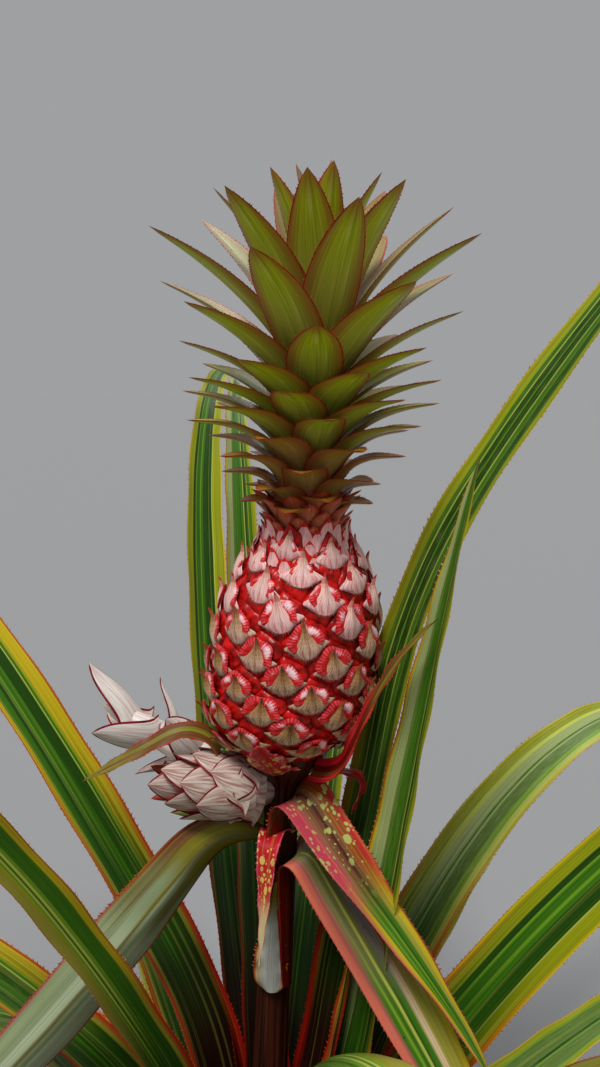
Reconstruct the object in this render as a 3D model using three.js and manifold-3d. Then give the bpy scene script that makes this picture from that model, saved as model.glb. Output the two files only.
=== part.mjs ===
// Variegated red pineapple plant in fruit: short stem in a rosette of long leaves, a leaning
// fruit stalk with coloured bract leaves, three side slips, the fruit and its leafy crown.
// Millimetres, +Z up. The origin is the middle of the flat cut under the stem, at ground level.
// +X is the plant's right and +Y its back, seen from the side that the fruit leans across.
import * as THREE from 'three';
import { mergeVertices } from 'three/addons/utils/BufferGeometryUtils.js';
import Module from 'manifold-3d';

const wasm = await Module();
wasm.setup();

// Heights on the plant's axis
const STEM_TOP = 200;
const STALK_START = 180;
const FRUIT_BASE = 429;
const FRUIT_TOP = 560;
const CROWN_LEAF_START = 579;
const CROWN_LEAF_END = 687;

// The axis stands upright to the stalk's start and then leans to the right in three stretches
const AXIS = [[STALK_START, 0], [FRUIT_BASE, 11], [FRUIT_TOP, 24], [800, 38]];

// Gaps between neighbouring solids
const GAP = 0.3;
const GROW_THICKNESS = 0.4;
const GROW_WIDTH = 1.5;
const MOST_LOST = 0.3;

// Stem, stalk and core sections
const STEM_PROFILE = [[34, 0], [29, 12], [26, 30], [27, 90], [26, 150], [24, 176], [17, 192], [12, STEM_TOP]];
const STEM_SIDES = 16;
const STEM_REACH = 26;
const STALK_RADIUS = 10;
const STALK_SIDES = 10;
const SLAB_RADIUS = 90;

// Leaf shape shared by every blade
const SPIRAL_TURN = -137.508;
const SPINE_STEPS = 160;
const BEND_WEIGHT = 110;
const TIP_SCALE = 0.04;
const BASE_FLARE = 0.3;
const BASE_FLARE_LENGTH = 0.07;
const TAPER_START_POWER = 2.6;
const TAPER_END_POWER = 0.85;

// Colours of the parts
const COLOURS = {
  leaf: 0x3e6920,
  stem: 0x5a4630,
  stalk: 0x44211a,
  fruit: 0xa51c14,
  crown: 0x5c6318,
  slip: 0xb89a92,
  pink: 0xaf5762,
  red: 0x8c1712,
  olive: 0x75643a,
};

// Long leaves of the rosette. Angles are degrees. heading: 0 is the front, 90 the right.
// rise is the slope at the root, turn what it loses between the bend's two shares of the
// length, arch what it loses towards the tip, and sweep how far the heading wanders.
const ROSETTE = {
  leaf_tall_right: { z: 150, heading: 83, length: 860, width: 41, rise: 81.5, turn: 17,
    bend: [0.34, 0.56], arch: 36, sweep: 1, roll: -34, fold: 0.4 },
  leaf_mid_right: { z: 128, heading: 64, length: 505, width: 42, rise: 71, turn: -10,
    bend: [0.05, 0.35], arch: 5, sweep: -10, roll: -58, fold: 0.4 },
  leaf_big_left: { z: 140, heading: -104, length: 800, width: 45, rise: 84.5, turn: 26,
    bend: [0.01, 0.24], arch: 100, sweep: -27.5, roll: 14.5, fold: 0.3 },
  leaf_low_left: { z: 119, heading: -43.5, length: 690, width: 36.6, rise: 67.9, turn: 5.3,
    bend: [0, 0.32], arch: 67.6, sweep: 17.8, roll: 62.3, fold: 0.5, split: 0.6 },
  leaf_arch_right: { z: 110, heading: 124, length: 700, width: 43, rise: 64, turn: 56,
    bend: [0, 0.78], arch: 56, sweep: 19, roll: -24, fold: 0.3, split: 0.5 },
  leaf_low_right: { z: 100, heading: 76, length: 700, width: 46, rise: 61, turn: 8,
    bend: [0.07, 0.57], arch: 58, sweep: 12, roll: -56, fold: 0.4 },
  leaf_back_left: { z: 170, heading: 205, length: 700, width: 42, rise: 68, turn: 0,
    bend: [0.3, 0.7], arch: 86, sweep: -35, roll: -35, fold: 0.4, split: 0.65 },
  leaf_back_middle: { z: 172, heading: 193, length: 640, width: 38, rise: 79, turn: 7,
    bend: [0.28, 0.7], arch: 88, sweep: -12, roll: -37, fold: 0.4, split: 0.65 },
  leaf_far_left: { z: 95, heading: -90, length: 680, width: 42, rise: 63, turn: 20,
    bend: [0, 0.35], arch: 62, sweep: 4, roll: 20, fold: 0.4 },
  leaf_ground_left: { z: 100, heading: -113, length: 620, width: 42, rise: 70, turn: 70,
    bend: [0, 0.32], arch: 28, sweep: 5, roll: 8, fold: 0.3 },
  leaf_front_right: { z: 140, heading: 26, length: 540, width: 42, rise: 78.2, turn: 85,
    bend: [0.05, 0.55], arch: 42, sweep: 10, roll: 0, fold: -0.25, split: 0.35 },
};

// Lower, older leaves fill the rosette all round and lie flatter the lower they start
const LOWER_LEAVES = [
  { z: 112, heading: -22, length: 600, rise: 60 },
  { z: 86, heading: -50, length: 560, rise: 50 },
  { z: 74, heading: 3, length: 520, rise: 42 },
  { z: 88, heading: 50, length: 580, rise: 50 },
  { z: 62, heading: 98, length: 560, rise: 40 },
  { z: 92, heading: 142, length: 600, rise: 42 },
  { z: 122, heading: 168, length: 620, rise: 62 },
  { z: 78, heading: 183, length: 600, rise: 48 },
  { z: 102, heading: 217, length: 600, rise: 54 },
  { z: 66, heading: 242, length: 560, rise: 42 },
  { z: 54, heading: 266, length: 540, rise: 34 },
  { z: 56, heading: -64, length: 520, rise: 34 },
  { z: 48, heading: 27, length: 480, rise: 28 },
  { z: 52, heading: 72, length: 500, rise: 32 },
  { z: 44, heading: 122, length: 500, rise: 27 },
  { z: 46, heading: 205, length: 500, rise: 29 },
  { z: 40, heading: -20, length: 460, rise: 25 },
];

// Leaves and bracts on the fruit stalk
const STALK_LEAVES = {
  bract_pink_upper: { z: 312, heading: 26.6, length: 302, width: 44, rise: 86, turn: 127.5,
    bend: [0.288, 0.371], arch: 23.6, sweep: 56, roll: -16.4, fold: 0.35, taper: 1.54, flare: -0.7,
    flareLength: 0.15, split: 0.32 },
  bract_pink_lower: { z: 283, heading: 46, length: 417, width: 45.6, rise: 87, turn: 134.7,
    bend: [0.186, 0.266], arch: 41.5, sweep: 19, roll: -24, fold: 0.34, flare: -0.75,
    flareLength: 0.15, split: 0.22, reach: 14 },
  bract_grey_left: { z: 380, heading: -64, length: 380, width: 45, rise: 19.8, turn: 68.3,
    bend: [0, 0.142], arch: -6, sweep: -42.4, roll: -81.7, fold: 0.5, flare: -0.8, flareLength: 0.11,
    split: 0.12 },
  bract_red_tongue: { z: 382, heading: -10, length: 94, width: 18, rise: 38, turn: 118,
    bend: [0, 0.35], arch: 0, sweep: -24, roll: 0, fold: 0.45, taper: 0.8 },
  bract_curled: { z: 425, heading: 67, length: 62, width: 12, rise: 0, turn: 120,
    bend: [0.45, 0.75], arch: -10, sweep: -12, roll: 0, fold: 0.2, reach: 15 },
  bract_right: { z: 427, heading: 45, length: 138, width: 15, rise: 8, turn: -59,
    bend: [0.02, 0.27], arch: 26, sweep: 21, roll: -50, fold: 0.4, taper: 1.6, flare: 0, reach: 26 },
  bract_left: { z: 437, heading: -76, length: 92, width: 12, rise: 52, turn: 78,
    bend: [0, 0.45], arch: 0, sweep: -4, roll: 40, fold: 0.3, reach: 40 },
  bract_speckled: { z: 426, heading: -14, length: 44, width: 26, rise: 30, turn: -24,
    bend: [0.1, 0.9], arch: 0, sweep: 0, roll: 0, fold: 0.3, reach: 22 },
  bract_brown_sheath: { z: 280, heading: -6, length: 84, width: 24, rise: 78, turn: 0,
    bend: [0, 1], arch: 0, sweep: 40, roll: 0, fold: 0.25, taper: 1.3, flare: -0.6, flareLength: 0.06,
    reach: 13.5 },
};

const STALK_LEAF_COLOURS = {
  bract_pink_upper: COLOURS.pink,
  bract_pink_lower: COLOURS.pink,
  bract_grey_left: COLOURS.leaf,
  bract_left: COLOURS.olive,
  bract_right: COLOURS.olive,
};

// Fruit: radius of the outline by share of its height, and its spiral of fruitlets
const FRUIT_OUTLINE = [
  [-0.15, 12], [0, 25], [0.07, 36], [0.16, 43], [0.27, 47], [0.55, 47], [0.75, 43], [0.9, 35], [1, 26],
];
const FRUITLETS = 75;
const FRUITLET_START = 433;
const FRUITLET_STEP = 1.7;
const FRUIT_PHASE = -11;
const RIGHT_STEP = 5;
const LEFT_STEP = 8;
const FAR_STEP = RIGHT_STEP + LEFT_STEP;
const FRUITLET_RELIEF = 5;
const SLAB_HEIGHT = 60;
const SPIKE_LENGTH = 17;
const SPIKE_RADIUS = 3;
const SPIKE_SLOPE = 52;

// Crown: neck scales, then leaves that grow longer and steeper towards the top
const CROWN_LEAVES = 76;
const CROWN_PHASE = -16.7;
const CROWN_THICKNESS = 2.4;
const CROWN_LEAF_STEPS = 2;
const CROWN_FLARE = -0.45;
const CROWN_FLARE_LENGTH = 0.25;
const CROWN_LEAF_SIDES = 3;
const CROWN_SIDES = 8;
const NECK_SCALES = 42;
const NECK_START = 558;
const NECK_HEIGHT = 20;

// Blade steps and thicknesses
const LONG_LEAF_STEPS = 10;
const LOWER_LEAF_STEPS = 7;
const STALK_LEAF_STEPS = 10;
const SPLIT_STEPS_SHARE = 0.6;
const STALK_LEAF_REACH = 11.5;
const STALK_LEAF_THICKNESS = 4.4;
const SLIP_LEAF_THICKNESS = 2.2;

// Side slips: where each leaves the stalk, where it points, and its size
const SLIPS = {
  slip_front: { z: 409, heading: -58, out: -78, slope: 10, length: 56, radius: 24, leaves: 22,
    leafLength: 32, least: 0.8, leafWidth: 36, spread: 10, close: 1.5, phase: 20 },
  slip_back: { z: 404, heading: -120, out: -107, slope: 22, length: 128, radius: 13, leaves: 10,
    leafLength: 48, least: 0.45, leafWidth: 30, spread: 36, close: 0.7, phase: 218 },
  slip_lower: { z: 388, heading: -128, out: -118, slope: 0, length: 40, radius: 9, leaves: 9,
    leafLength: 46, least: 0.8, leafWidth: 20, spread: 26, close: 1.5, phase: 50 },
};

const radians = THREE.MathUtils.degToRad;
const BLADE_SIDES = 4;

function ease(share) {
  const t = Math.min(1, Math.max(0, share));
  return t * t * (3 - 2 * t);
}

function headingVector(degrees) {
  return new THREE.Vector3(Math.sin(radians(degrees)), -Math.cos(radians(degrees)), 0);
}

// Reading a list of [place, value] pairs between its entries
function readPairs(pairs, place) {
  for (let i = 1; i < pairs.length; i++) {
    if (place <= pairs[i][0]) {
      const part = Math.max(0, (place - pairs[i - 1][0]) / (pairs[i][0] - pairs[i - 1][0]));
      return THREE.MathUtils.lerp(pairs[i - 1][1], pairs[i][1], part);
    }
  }
  return pairs[pairs.length - 1][1];
}

// Sideways place of the plant's axis at a height
function axisX(z) {
  return readPairs(AXIS, z);
}

function slopeAt(leaf, s) {
  const bent = leaf.turn * ease((s - leaf.bend[0]) / (leaf.bend[1] - leaf.bend[0]));
  return leaf.rise - bent - leaf.arch * s ** 3;
}

// The blade's own directions at a share of its length: along, across and out of the face
function leafFrame(leaf, s) {
  const slope = radians(slopeAt(leaf, s));
  const out = headingVector(leaf.heading + leaf.sweep * s);
  const up = new THREE.Vector3(0, 0, 1);
  const along = out.clone().multiplyScalar(Math.cos(slope)).addScaledVector(up, Math.sin(slope));
  const face = out.clone().multiplyScalar(-Math.sin(slope)).addScaledVector(up, Math.cos(slope));
  const side = along.clone().cross(face);
  const roll = radians(leaf.roll);
  const across = side.clone().multiplyScalar(Math.cos(roll)).addScaledVector(face, Math.sin(roll));
  const lift = face.multiplyScalar(Math.cos(roll)).addScaledVector(side, -Math.sin(roll));
  return { along, across, lift };
}

// Places and directions down the middle of a blade, in equal steps from its root
function leafSpine(leaf) {
  const place = leaf.root.clone();
  const spine = [];
  for (let i = 0; i <= SPINE_STEPS; i++) {
    const frame = leafFrame(leaf, i / SPINE_STEPS);
    spine.push({ place: place.clone(), ...frame });
    place.addScaledVector(frame.along, leaf.length / SPINE_STEPS);
  }
  return spine;
}

function spineAt(spine, s) {
  const position = Math.min(SPINE_STEPS, Math.max(0, s * SPINE_STEPS));
  const low = Math.min(SPINE_STEPS - 1, Math.floor(position));
  const blend = (key) => spine[low][key].clone().lerp(spine[low + 1][key], position - low);
  return { place: blend('place'), across: blend('across'), lift: blend('lift'), along: blend('along') };
}

// Shares of the length for a blade's rings, closer together where it bends
function ringShares(leaf, from, to, steps) {
  const measure = [[0, from]];
  for (let i = 1; i <= SPINE_STEPS; i++) {
    const before = from + (to - from) * (i - 1) / SPINE_STEPS;
    const after = from + (to - from) * i / SPINE_STEPS;
    const bent = Math.abs(slopeAt(leaf, after) - slopeAt(leaf, before));
    measure.push([measure[i - 1][0] + (after - before) + bent / BEND_WEIGHT, after]);
  }
  const whole = measure[SPINE_STEPS][0];
  return Array.from({ length: steps + 1 }, (_, k) => readPairs(measure, whole * k / steps));
}

function leafWidth(leaf, s) {
  const taper = (1 - Math.min(1, s) ** (leaf.taper ?? TAPER_START_POWER)) ** TAPER_END_POWER;
  const flare = 1 + (leaf.flare ?? BASE_FLARE) * Math.exp(-s / (leaf.flareLength ?? BASE_FLARE_LENGTH));
  return leaf.width * Math.max(TIP_SCALE, taper * flare);
}

function leafThickness(leaf, s) {
  return leaf.thickness * Math.max(TIP_SCALE * 4, 1 - ease((s - 0.8) / 0.2));
}

// A geometry's merged copy as a solid, turned to face outwards
function toSolid(geometry) {
  const bare = geometry.clone();
  bare.deleteAttribute('normal');
  bare.deleteAttribute('uv');
  const merged = mergeVertices(bare, 1e-4);
  const places = merged.attributes.position;
  const index = Uint32Array.from(merged.index.array);
  const corners = [0, 1, 2].map(() => new THREE.Vector3());
  let volume = 0;
  for (let i = 0; i < index.length; i += 3) {
    corners.forEach((corner, k) => corner.fromBufferAttribute(places, index[i + k]));
    volume += corners[0].dot(corners[1].clone().cross(corners[2]));
  }
  if (volume < 0) {
    for (let i = 0; i < index.length; i += 3) {
      [index[i], index[i + 1]] = [index[i + 1], index[i]];
    }
  }
  const vertProperties = Float32Array.from(places.array);
  return new wasm.Manifold(new wasm.Mesh({ numProp: 3, vertProperties, triVerts: index }));
}

function toGeometry(solid) {
  const mesh = solid.getMesh();
  const places = new Float32Array(mesh.numVert * 3);
  for (let i = 0; i < mesh.numVert; i++) {
    for (let k = 0; k < 3; k++) {
      places[3 * i + k] = mesh.vertProperties[mesh.numProp * i + k];
    }
  }
  const geometry = new THREE.BufferGeometry();
  geometry.setAttribute('position', new THREE.BufferAttribute(places, 3));
  geometry.setIndex(new THREE.BufferAttribute(Uint32Array.from(mesh.triVerts), 1));
  geometry.computeVertexNormals();
  return geometry;
}

function union(solids) {
  return solids.reduce((whole, solid) => whole.add(solid));
}

function largestBody(solid) {
  return solid.decompose().reduce((best, body) => (body.volume() > best.volume() ? body : best));
}

// A blade as a four-sided tube bent along the leaf: two edges, a top and an underside
function blade(leaf, { from = 0, to = 1, steps, sides = BLADE_SIDES, grow = false, stand = null }) {
  const geometry = new THREE.CylinderGeometry(1, 1, 1, sides, steps, false, Math.PI);
  const places = geometry.attributes.position;
  const spine = leafSpine(leaf);
  const shares = ringShares(leaf, from, to, steps);
  for (let i = 0; i < places.count; i++) {
    const ring = Math.round((places.getY(i) + 0.5) * steps);
    const s = shares[ring];
    const spare = grow ? GAP * ((ring === steps) - (ring === 0)) : 0;
    const { place, across, lift, along } = spineAt(spine, s);
    const slim = leafWidth(leaf, s) / 2;
    const half = slim + (grow ? GROW_WIDTH : 0);
    const thick = leafThickness(leaf, s) / 2 + (grow ? GROW_THICKNESS : 0);
    const channel = leaf.fold * (1 - 0.4 * s) * (sides === BLADE_SIDES ? half : slim);
    place.addScaledVector(across, places.getX(i) * half);
    place.addScaledVector(lift, Math.abs(places.getX(i)) * channel + places.getZ(i) * thick);
    place.addScaledVector(along, spare);
    places.setXYZ(i, place.x, place.y, place.z);
  }
  if (stand) {
    geometry.applyMatrix4(stand);
  }
  return toSolid(geometry);
}

// A body of revolution from [radius, height] pairs, leaning with the plant's axis or on a stand
function revolved(profile, sides, stand = null) {
  const geometry = new THREE.LatheGeometry(profile.map(([radius, z]) => new THREE.Vector2(radius, z)), sides);
  geometry.rotateX(Math.PI / 2);
  const places = geometry.attributes.position;
  if (stand) {
    geometry.applyMatrix4(stand);
  } else {
    for (let i = 0; i < places.count; i++) {
      places.setX(i, places.getX(i) + axisX(places.getZ(i)));
    }
  }
  return toSolid(geometry);
}

function axisPoint(z, heading, reach) {
  const point = headingVector(heading).multiplyScalar(reach);
  point.x += axisX(z);
  point.z = z;
  return point;
}

function rooted(leaf, reach) {
  const thickness = leaf.thickness ?? leaf.length / 100;
  return { ...leaf, root: axisPoint(leaf.z, leaf.heading, reach), thickness };
}

// Foot on the flat cut, the middle that bears the leaves, and the rounded top under the stalk
function stemSolid(grow) {
  const skin = STEM_PROFILE.map(([radius, z]) => [radius + grow, z]);
  return revolved([[0, 0], ...skin, [0, STEM_TOP + grow]], STEM_SIDES);
}

function stalkSolid(grow) {
  const start = STEM_TOP + GAP - grow;
  const end = FRUIT_BASE - GAP + grow;
  const radius = STALK_RADIUS + grow;
  const rings = [[0, start], [radius + 1.5, start], [radius, 300], [radius + 1, end], [0, end]];
  return revolved(rings, STALK_SIDES);
}

function fruitletHeight(index) {
  return FRUITLET_START + index * FRUITLET_STEP;
}

function fruitShare(z) {
  return (z - FRUIT_BASE) / (FRUIT_TOP - FRUIT_BASE);
}

// A point over the middle of fruitlet number index, raised from the fruit's outline
function fruitletPoint(index, raise) {
  const z = fruitletHeight(index);
  return axisPoint(z, FRUIT_PHASE + SPIRAL_TURN * index, readPairs(FRUIT_OUTLINE, fruitShare(z)) + raise);
}

// Each fruitlet's neighbours up the spiral lie to its right, to its left and almost above it.
// Their triangles cover the fruit with
// a peak on each fruitlet and a hollow where three meet, and a fan closes each end.
function fruitletSkin(first, last, grow) {
  const peaks = Array.from({ length: last - first }, (_, k) => fruitletPoint(first + k, grow));
  const corners = [];
  for (let k = 0; k + FAR_STEP < peaks.length; k++) {
    for (const [b, c] of [[RIGHT_STEP, FAR_STEP], [FAR_STEP, LEFT_STEP]]) {
      const trio = [peaks[k], peaks[k + b], peaks[k + c]];
      const middle = trio[0].clone().add(trio[1]).add(trio[2]).divideScalar(3);
      const centre = new THREE.Vector3(axisX(middle.z), 0, middle.z);
      const hollow = middle.lerp(centre, FRUITLET_RELIEF / middle.distanceTo(centre));
      trio.forEach((peak, i) => corners.push(peak, trio[(i + 1) % 3], hollow));
    }
  }
  for (const [start, flip] of [[0, true], [peaks.length - FAR_STEP, false]]) {
    const z = peaks[start].z;
    const centre = new THREE.Vector3(axisX(z), 0, z);
    for (let k = 0; k < FAR_STEP; k++) {
      const pair = [peaks[start + k], peaks[start + (k + RIGHT_STEP) % FAR_STEP]];
      corners.push(...(flip ? pair.reverse() : pair), centre);
    }
  }
  return new THREE.BufferGeometry().setFromPoints(corners);
}

function fruitletSpike(index, grow) {
  const z = fruitletHeight(index);
  const spike = new THREE.ConeGeometry(SPIKE_RADIUS + grow, SPIKE_LENGTH + 2 * grow, 3);
  spike.rotateX(radians(SPIKE_SLOPE));
  spike.translate(0, readPairs(FRUIT_OUTLINE, fruitShare(z)) + 1, -3);
  spike.rotateZ(Math.PI + radians(FRUIT_PHASE + SPIRAL_TURN * index));
  spike.translate(axisX(z), 0, z);
  return toSolid(spike);
}

function slab(from, to) {
  return revolved([[0, from], [SLAB_RADIUS, from], [SLAB_RADIUS, to], [0, to]], 8);
}

function fruitSolid(grow) {
  const pieces = [toSolid(fruitletSkin(-FAR_STEP, FRUITLETS + FAR_STEP, grow))];
  for (let i = 0; i < FRUITLETS; i++) {
    pieces.push(fruitletSpike(i, grow));
  }
  const above = slab(FRUIT_TOP, FRUIT_TOP + SLAB_HEIGHT);
  const below = slab(FRUIT_BASE - SLAB_HEIGHT, FRUIT_BASE);
  return largestBody(union(pieces).subtract(above).subtract(below));
}

// Crown leaf number i, counted from the neck upwards
function crownLeaf(i) {
  const share = i / (CROWN_LEAVES - 1);
  const young = 48 * ease((share - 0.55) / 0.25) - 30 * ease((share - 0.75) / 0.25);
  const lean = 5 + 25 * Math.min(1, share / 0.65) ** 1.5 + 55 * Math.max(0, (share - 0.65) / 0.35) ** 1.7;
  const old = 1 - ease(share / 0.6);
  return rooted({
    z: CROWN_LEAF_START + (CROWN_LEAF_END - CROWN_LEAF_START) * share ** 1.15 - 8 * old,
    heading: CROWN_PHASE + SPIRAL_TURN * i,
    length: 33 + 41 * ease(share / 0.4) + young,
    width: 30 + 8 * ease(share / 0.7),
    rise: lean + 14 + 47 * old,
    turn: 22 + 44 * old,
    bend: [0.08 * old, 1 - 0.25 * old],
    arch: 0,
    sweep: 0,
    roll: 0,
    fold: 0.3,
    flare: CROWN_FLARE,
    flareLength: CROWN_FLARE_LENGTH,
    thickness: CROWN_THICKNESS,
  }, 0.7 * crownCoreRadius(share));
}

function neckScale(i) {
  const share = i / NECK_SCALES;
  return rooted({
    z: NECK_START + NECK_HEIGHT * share,
    heading: FRUIT_PHASE + SPIRAL_TURN * (FRUITLETS + i),
    length: 15 + 11 * share,
    width: 14 + 6 * share,
    rise: 76 - 6 * share,
    turn: 22 + 20 * share,
    bend: [0, 1],
    arch: 0,
    sweep: 0,
    roll: 0,
    fold: 0.3,
    flare: CROWN_FLARE,
    flareLength: CROWN_FLARE_LENGTH,
    thickness: CROWN_THICKNESS,
  }, 19);
}

function crownCoreRadius(share) {
  return 21 - 14 * Math.max(0, share);
}

// The crown: a tapering core with its neck scales and leaves, cut flat where it meets the fruit
function crownSolid() {
  const start = FRUIT_TOP + GAP;
  const end = CROWN_LEAF_END + 4;
  const core = [[0, start], [crownCoreRadius(0), start], [crownCoreRadius(0), CROWN_LEAF_START],
    [crownCoreRadius(1), end], [0, end]];
  const pieces = [revolved(core, CROWN_SIDES)];
  for (let i = 0; i < NECK_SCALES; i++) {
    pieces.push(blade(neckScale(i), { steps: 1, sides: CROWN_LEAF_SIDES }));
  }
  for (let i = 0; i < CROWN_LEAVES; i++) {
    pieces.push(blade(crownLeaf(i), { steps: CROWN_LEAF_STEPS, sides: CROWN_LEAF_SIDES }));
  }
  return largestBody(union(pieces).subtract(slab(FRUIT_TOP - SLAB_HEIGHT, start)));
}

// A slip's own frame: its axis runs along local Z from the stalk
function slipStand(slip) {
  const out = headingVector(slip.out).multiplyScalar(Math.cos(radians(slip.slope)));
  out.z = Math.sin(radians(slip.slope));
  const turn = new THREE.Quaternion().setFromUnitVectors(new THREE.Vector3(0, 0, 1), out);
  const place = axisPoint(slip.z, slip.heading, STALK_RADIUS);
  return new THREE.Matrix4().compose(place, turn, new THREE.Vector3(1, 1, 1));
}

function slipLeaf(slip, i) {
  const share = (i + 0.5) / slip.leaves;
  const heading = slip.phase + SPIRAL_TURN * i;
  const reach = 0.75 * slip.radius * Math.sin(Math.PI * (0.25 + 0.65 * share));
  const root = headingVector(heading).multiplyScalar(reach);
  root.z = slip.length * (0.06 + 0.72 * share);
  return {
    root,
    heading,
    length: slip.leafLength * (slip.least + (1 - slip.least) * share),
    width: slip.leafWidth * (1 - 0.3 * share),
    rise: 90 - slip.spread * (2.2 - 1.2 * share),
    turn: -slip.spread * slip.close,
    bend: [0, 0.7],
    arch: slip.spread * 0.6,
    sweep: 0,
    roll: 0,
    fold: 0.45,
    thickness: SLIP_LEAF_THICKNESS,
  };
}

function slipSolid(slip, grow) {
  const stand = slipStand(slip);
  const core = [[0, -4], [6 + grow, -4], [slip.radius * 0.75 + grow, slip.length * 0.25],
    [slip.radius * 0.8 + grow, slip.length * 0.5], [slip.radius * 0.4 + grow, slip.length * 0.85],
    [0, slip.length * 0.95 + grow]];
  const pieces = [revolved(core, 8, stand)];
  for (let i = 0; i < slip.leaves; i++) {
    pieces.push(blade(slipLeaf(slip, i), { steps: 2, sides: CROWN_LEAF_SIDES, grow: grow > 0, stand }));
  }
  return largestBody(union(pieces));
}

function lowerLeaf(row) {
  return {
    ...row,
    width: 42,
    turn: 0.45 * row.rise,
    bend: [0, 0.55],
    arch: 0.75 * row.rise,
    sweep: 8 * Math.sin(radians(3 * row.heading)),
    roll: 10 * Math.sin(radians(5 * row.heading)),
    fold: 0.35,
  };
}

// Every solid in its order of placing, each cut clear of those before it
const group = new THREE.Group();
const blockers = [];

function settle(name, colour, solid, grown) {
  const cut = largestBody(blockers.reduce((left, blocker) => left.subtract(blocker), solid));
  const lost = 1 - cut.volume() / solid.volume();
  if (lost > MOST_LOST) {
    throw new Error(`${name} runs into its neighbours`);
  }
  blockers.push(grown);
  const material = new THREE.MeshStandardMaterial({ color: colour, roughness: 0.6, metalness: 0 });
  const mesh = new THREE.Mesh(toGeometry(cut), material);
  mesh.name = name;
  group.add(mesh);
}

function settleLeaf(name, colour, leaf, steps) {
  const ends = leaf.split ? [[0, leaf.split], [leaf.split + GAP / leaf.length, 1]] : [[0, 1]];
  ends.forEach(([from, to], k) => {
    const options = { from, to, steps: leaf.split ? Math.ceil(steps * SPLIT_STEPS_SHARE) : steps };
    const label = leaf.split ? `${name}_${k ? 'tip' : 'base'}` : name;
    settle(label, colour, blade(leaf, options), blade(leaf, { ...options, grow: true }));
  });
}

settle('stem', COLOURS.stem, stemSolid(0), stemSolid(GAP));
settle('fruit_stalk', COLOURS.stalk, stalkSolid(0), stalkSolid(GAP));
settle('fruit', COLOURS.fruit, fruitSolid(0), fruitSolid(GAP));
const crown = crownSolid();
settle('crown', COLOURS.crown, crown, crown);
for (const [name, slip] of Object.entries(SLIPS)) {
  settle(name, COLOURS.slip, slipSolid(slip, 0), slipSolid(slip, GAP));
}
for (const [name, row] of Object.entries(STALK_LEAVES)) {
  const leaf = rooted({ ...row, thickness: STALK_LEAF_THICKNESS }, row.reach ?? STALK_LEAF_REACH);
  settleLeaf(name, STALK_LEAF_COLOURS[name] ?? COLOURS.red, leaf, STALK_LEAF_STEPS);
}
for (const [name, row] of Object.entries(ROSETTE)) {
  settleLeaf(name, COLOURS.leaf, rooted(row, STEM_REACH), LONG_LEAF_STEPS);
}
LOWER_LEAVES.forEach((row, k) => {
  const name = `leaf_lower_${String(k + 1).padStart(2, '0')}`;
  settleLeaf(name, COLOURS.leaf, rooted(lowerLeaf(row), STEM_REACH), LOWER_LEAF_STEPS);
});

export default group;
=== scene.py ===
"""Variegated red pineapple plant in fruit: the looks of its leaves, stalk, slips, fruit and crown.

Shapes are worked out in millimetres, on the same rules as the solids, and made in metres.
+X is the plant's right and +Y its back, seen from the camera.
"""

import functools
import math

import bmesh
import bpy
import numpy as np
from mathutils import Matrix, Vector


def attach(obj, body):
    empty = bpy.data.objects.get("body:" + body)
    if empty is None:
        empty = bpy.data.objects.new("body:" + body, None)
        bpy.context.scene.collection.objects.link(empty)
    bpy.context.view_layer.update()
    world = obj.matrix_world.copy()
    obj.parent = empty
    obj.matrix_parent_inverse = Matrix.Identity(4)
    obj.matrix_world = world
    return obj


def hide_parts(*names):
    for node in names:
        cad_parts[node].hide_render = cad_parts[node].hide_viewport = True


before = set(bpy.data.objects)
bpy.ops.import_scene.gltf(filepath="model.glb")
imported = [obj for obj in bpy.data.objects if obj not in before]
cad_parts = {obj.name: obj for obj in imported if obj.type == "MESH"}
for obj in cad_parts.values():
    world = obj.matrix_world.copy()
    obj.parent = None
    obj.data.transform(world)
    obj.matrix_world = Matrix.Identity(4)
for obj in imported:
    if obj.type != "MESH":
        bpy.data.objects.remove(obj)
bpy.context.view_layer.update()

MM = 0.001
UP = np.array([0.0, 0.0, 1.0])
SPIRAL_TURN = -137.508

# Heights on the plant's axis, and how far the axis leans to the right at them
STEM_TOP = 200
STALK_START = 180
FRUIT_BASE = 429
FRUIT_TOP = 560
CROWN_LEAF_START = 579
CROWN_LEAF_END = 687
AXIS = [[STALK_START, 0], [FRUIT_BASE, 11], [FRUIT_TOP, 24], [800, 38]]

# Stem, stalk and where the leaves sit on them
STEM_PROFILE = [[34, 0], [29, 12], [26, 30], [27, 90], [26, 150], [24, 176], [17, 192], [12, STEM_TOP]]
STEM_REACH = 26
STALK_RADIUS = 10
STALK_LEAF_REACH = 11.5

# Leaf shape shared by every blade
SPINE_STEPS = 160
BASE_FLARE = 0.3
BASE_FLARE_LENGTH = 0.07
TAPER_START_POWER = 2.6
TAPER_END_POWER = 0.85
FOLD_LOST_AT_TIP = 0.4
THICKNESS_LOST_AT_TIP = 0.6
WIDEST_MARGIN = 0.42

# A margin spine's corners, in shares of its size: its foot's reach back and forward along the
# margin and down from it, how far it is sunk, and its point's reach outwards and forwards
SPINE_BACK = 0.55
SPINE_FORWARD = 0.45
SPINE_DOWN = 0.35
SPINE_SUNK = 0.2
SPINE_OUT = 1.1
SPINE_LEAN = 0.75

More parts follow.
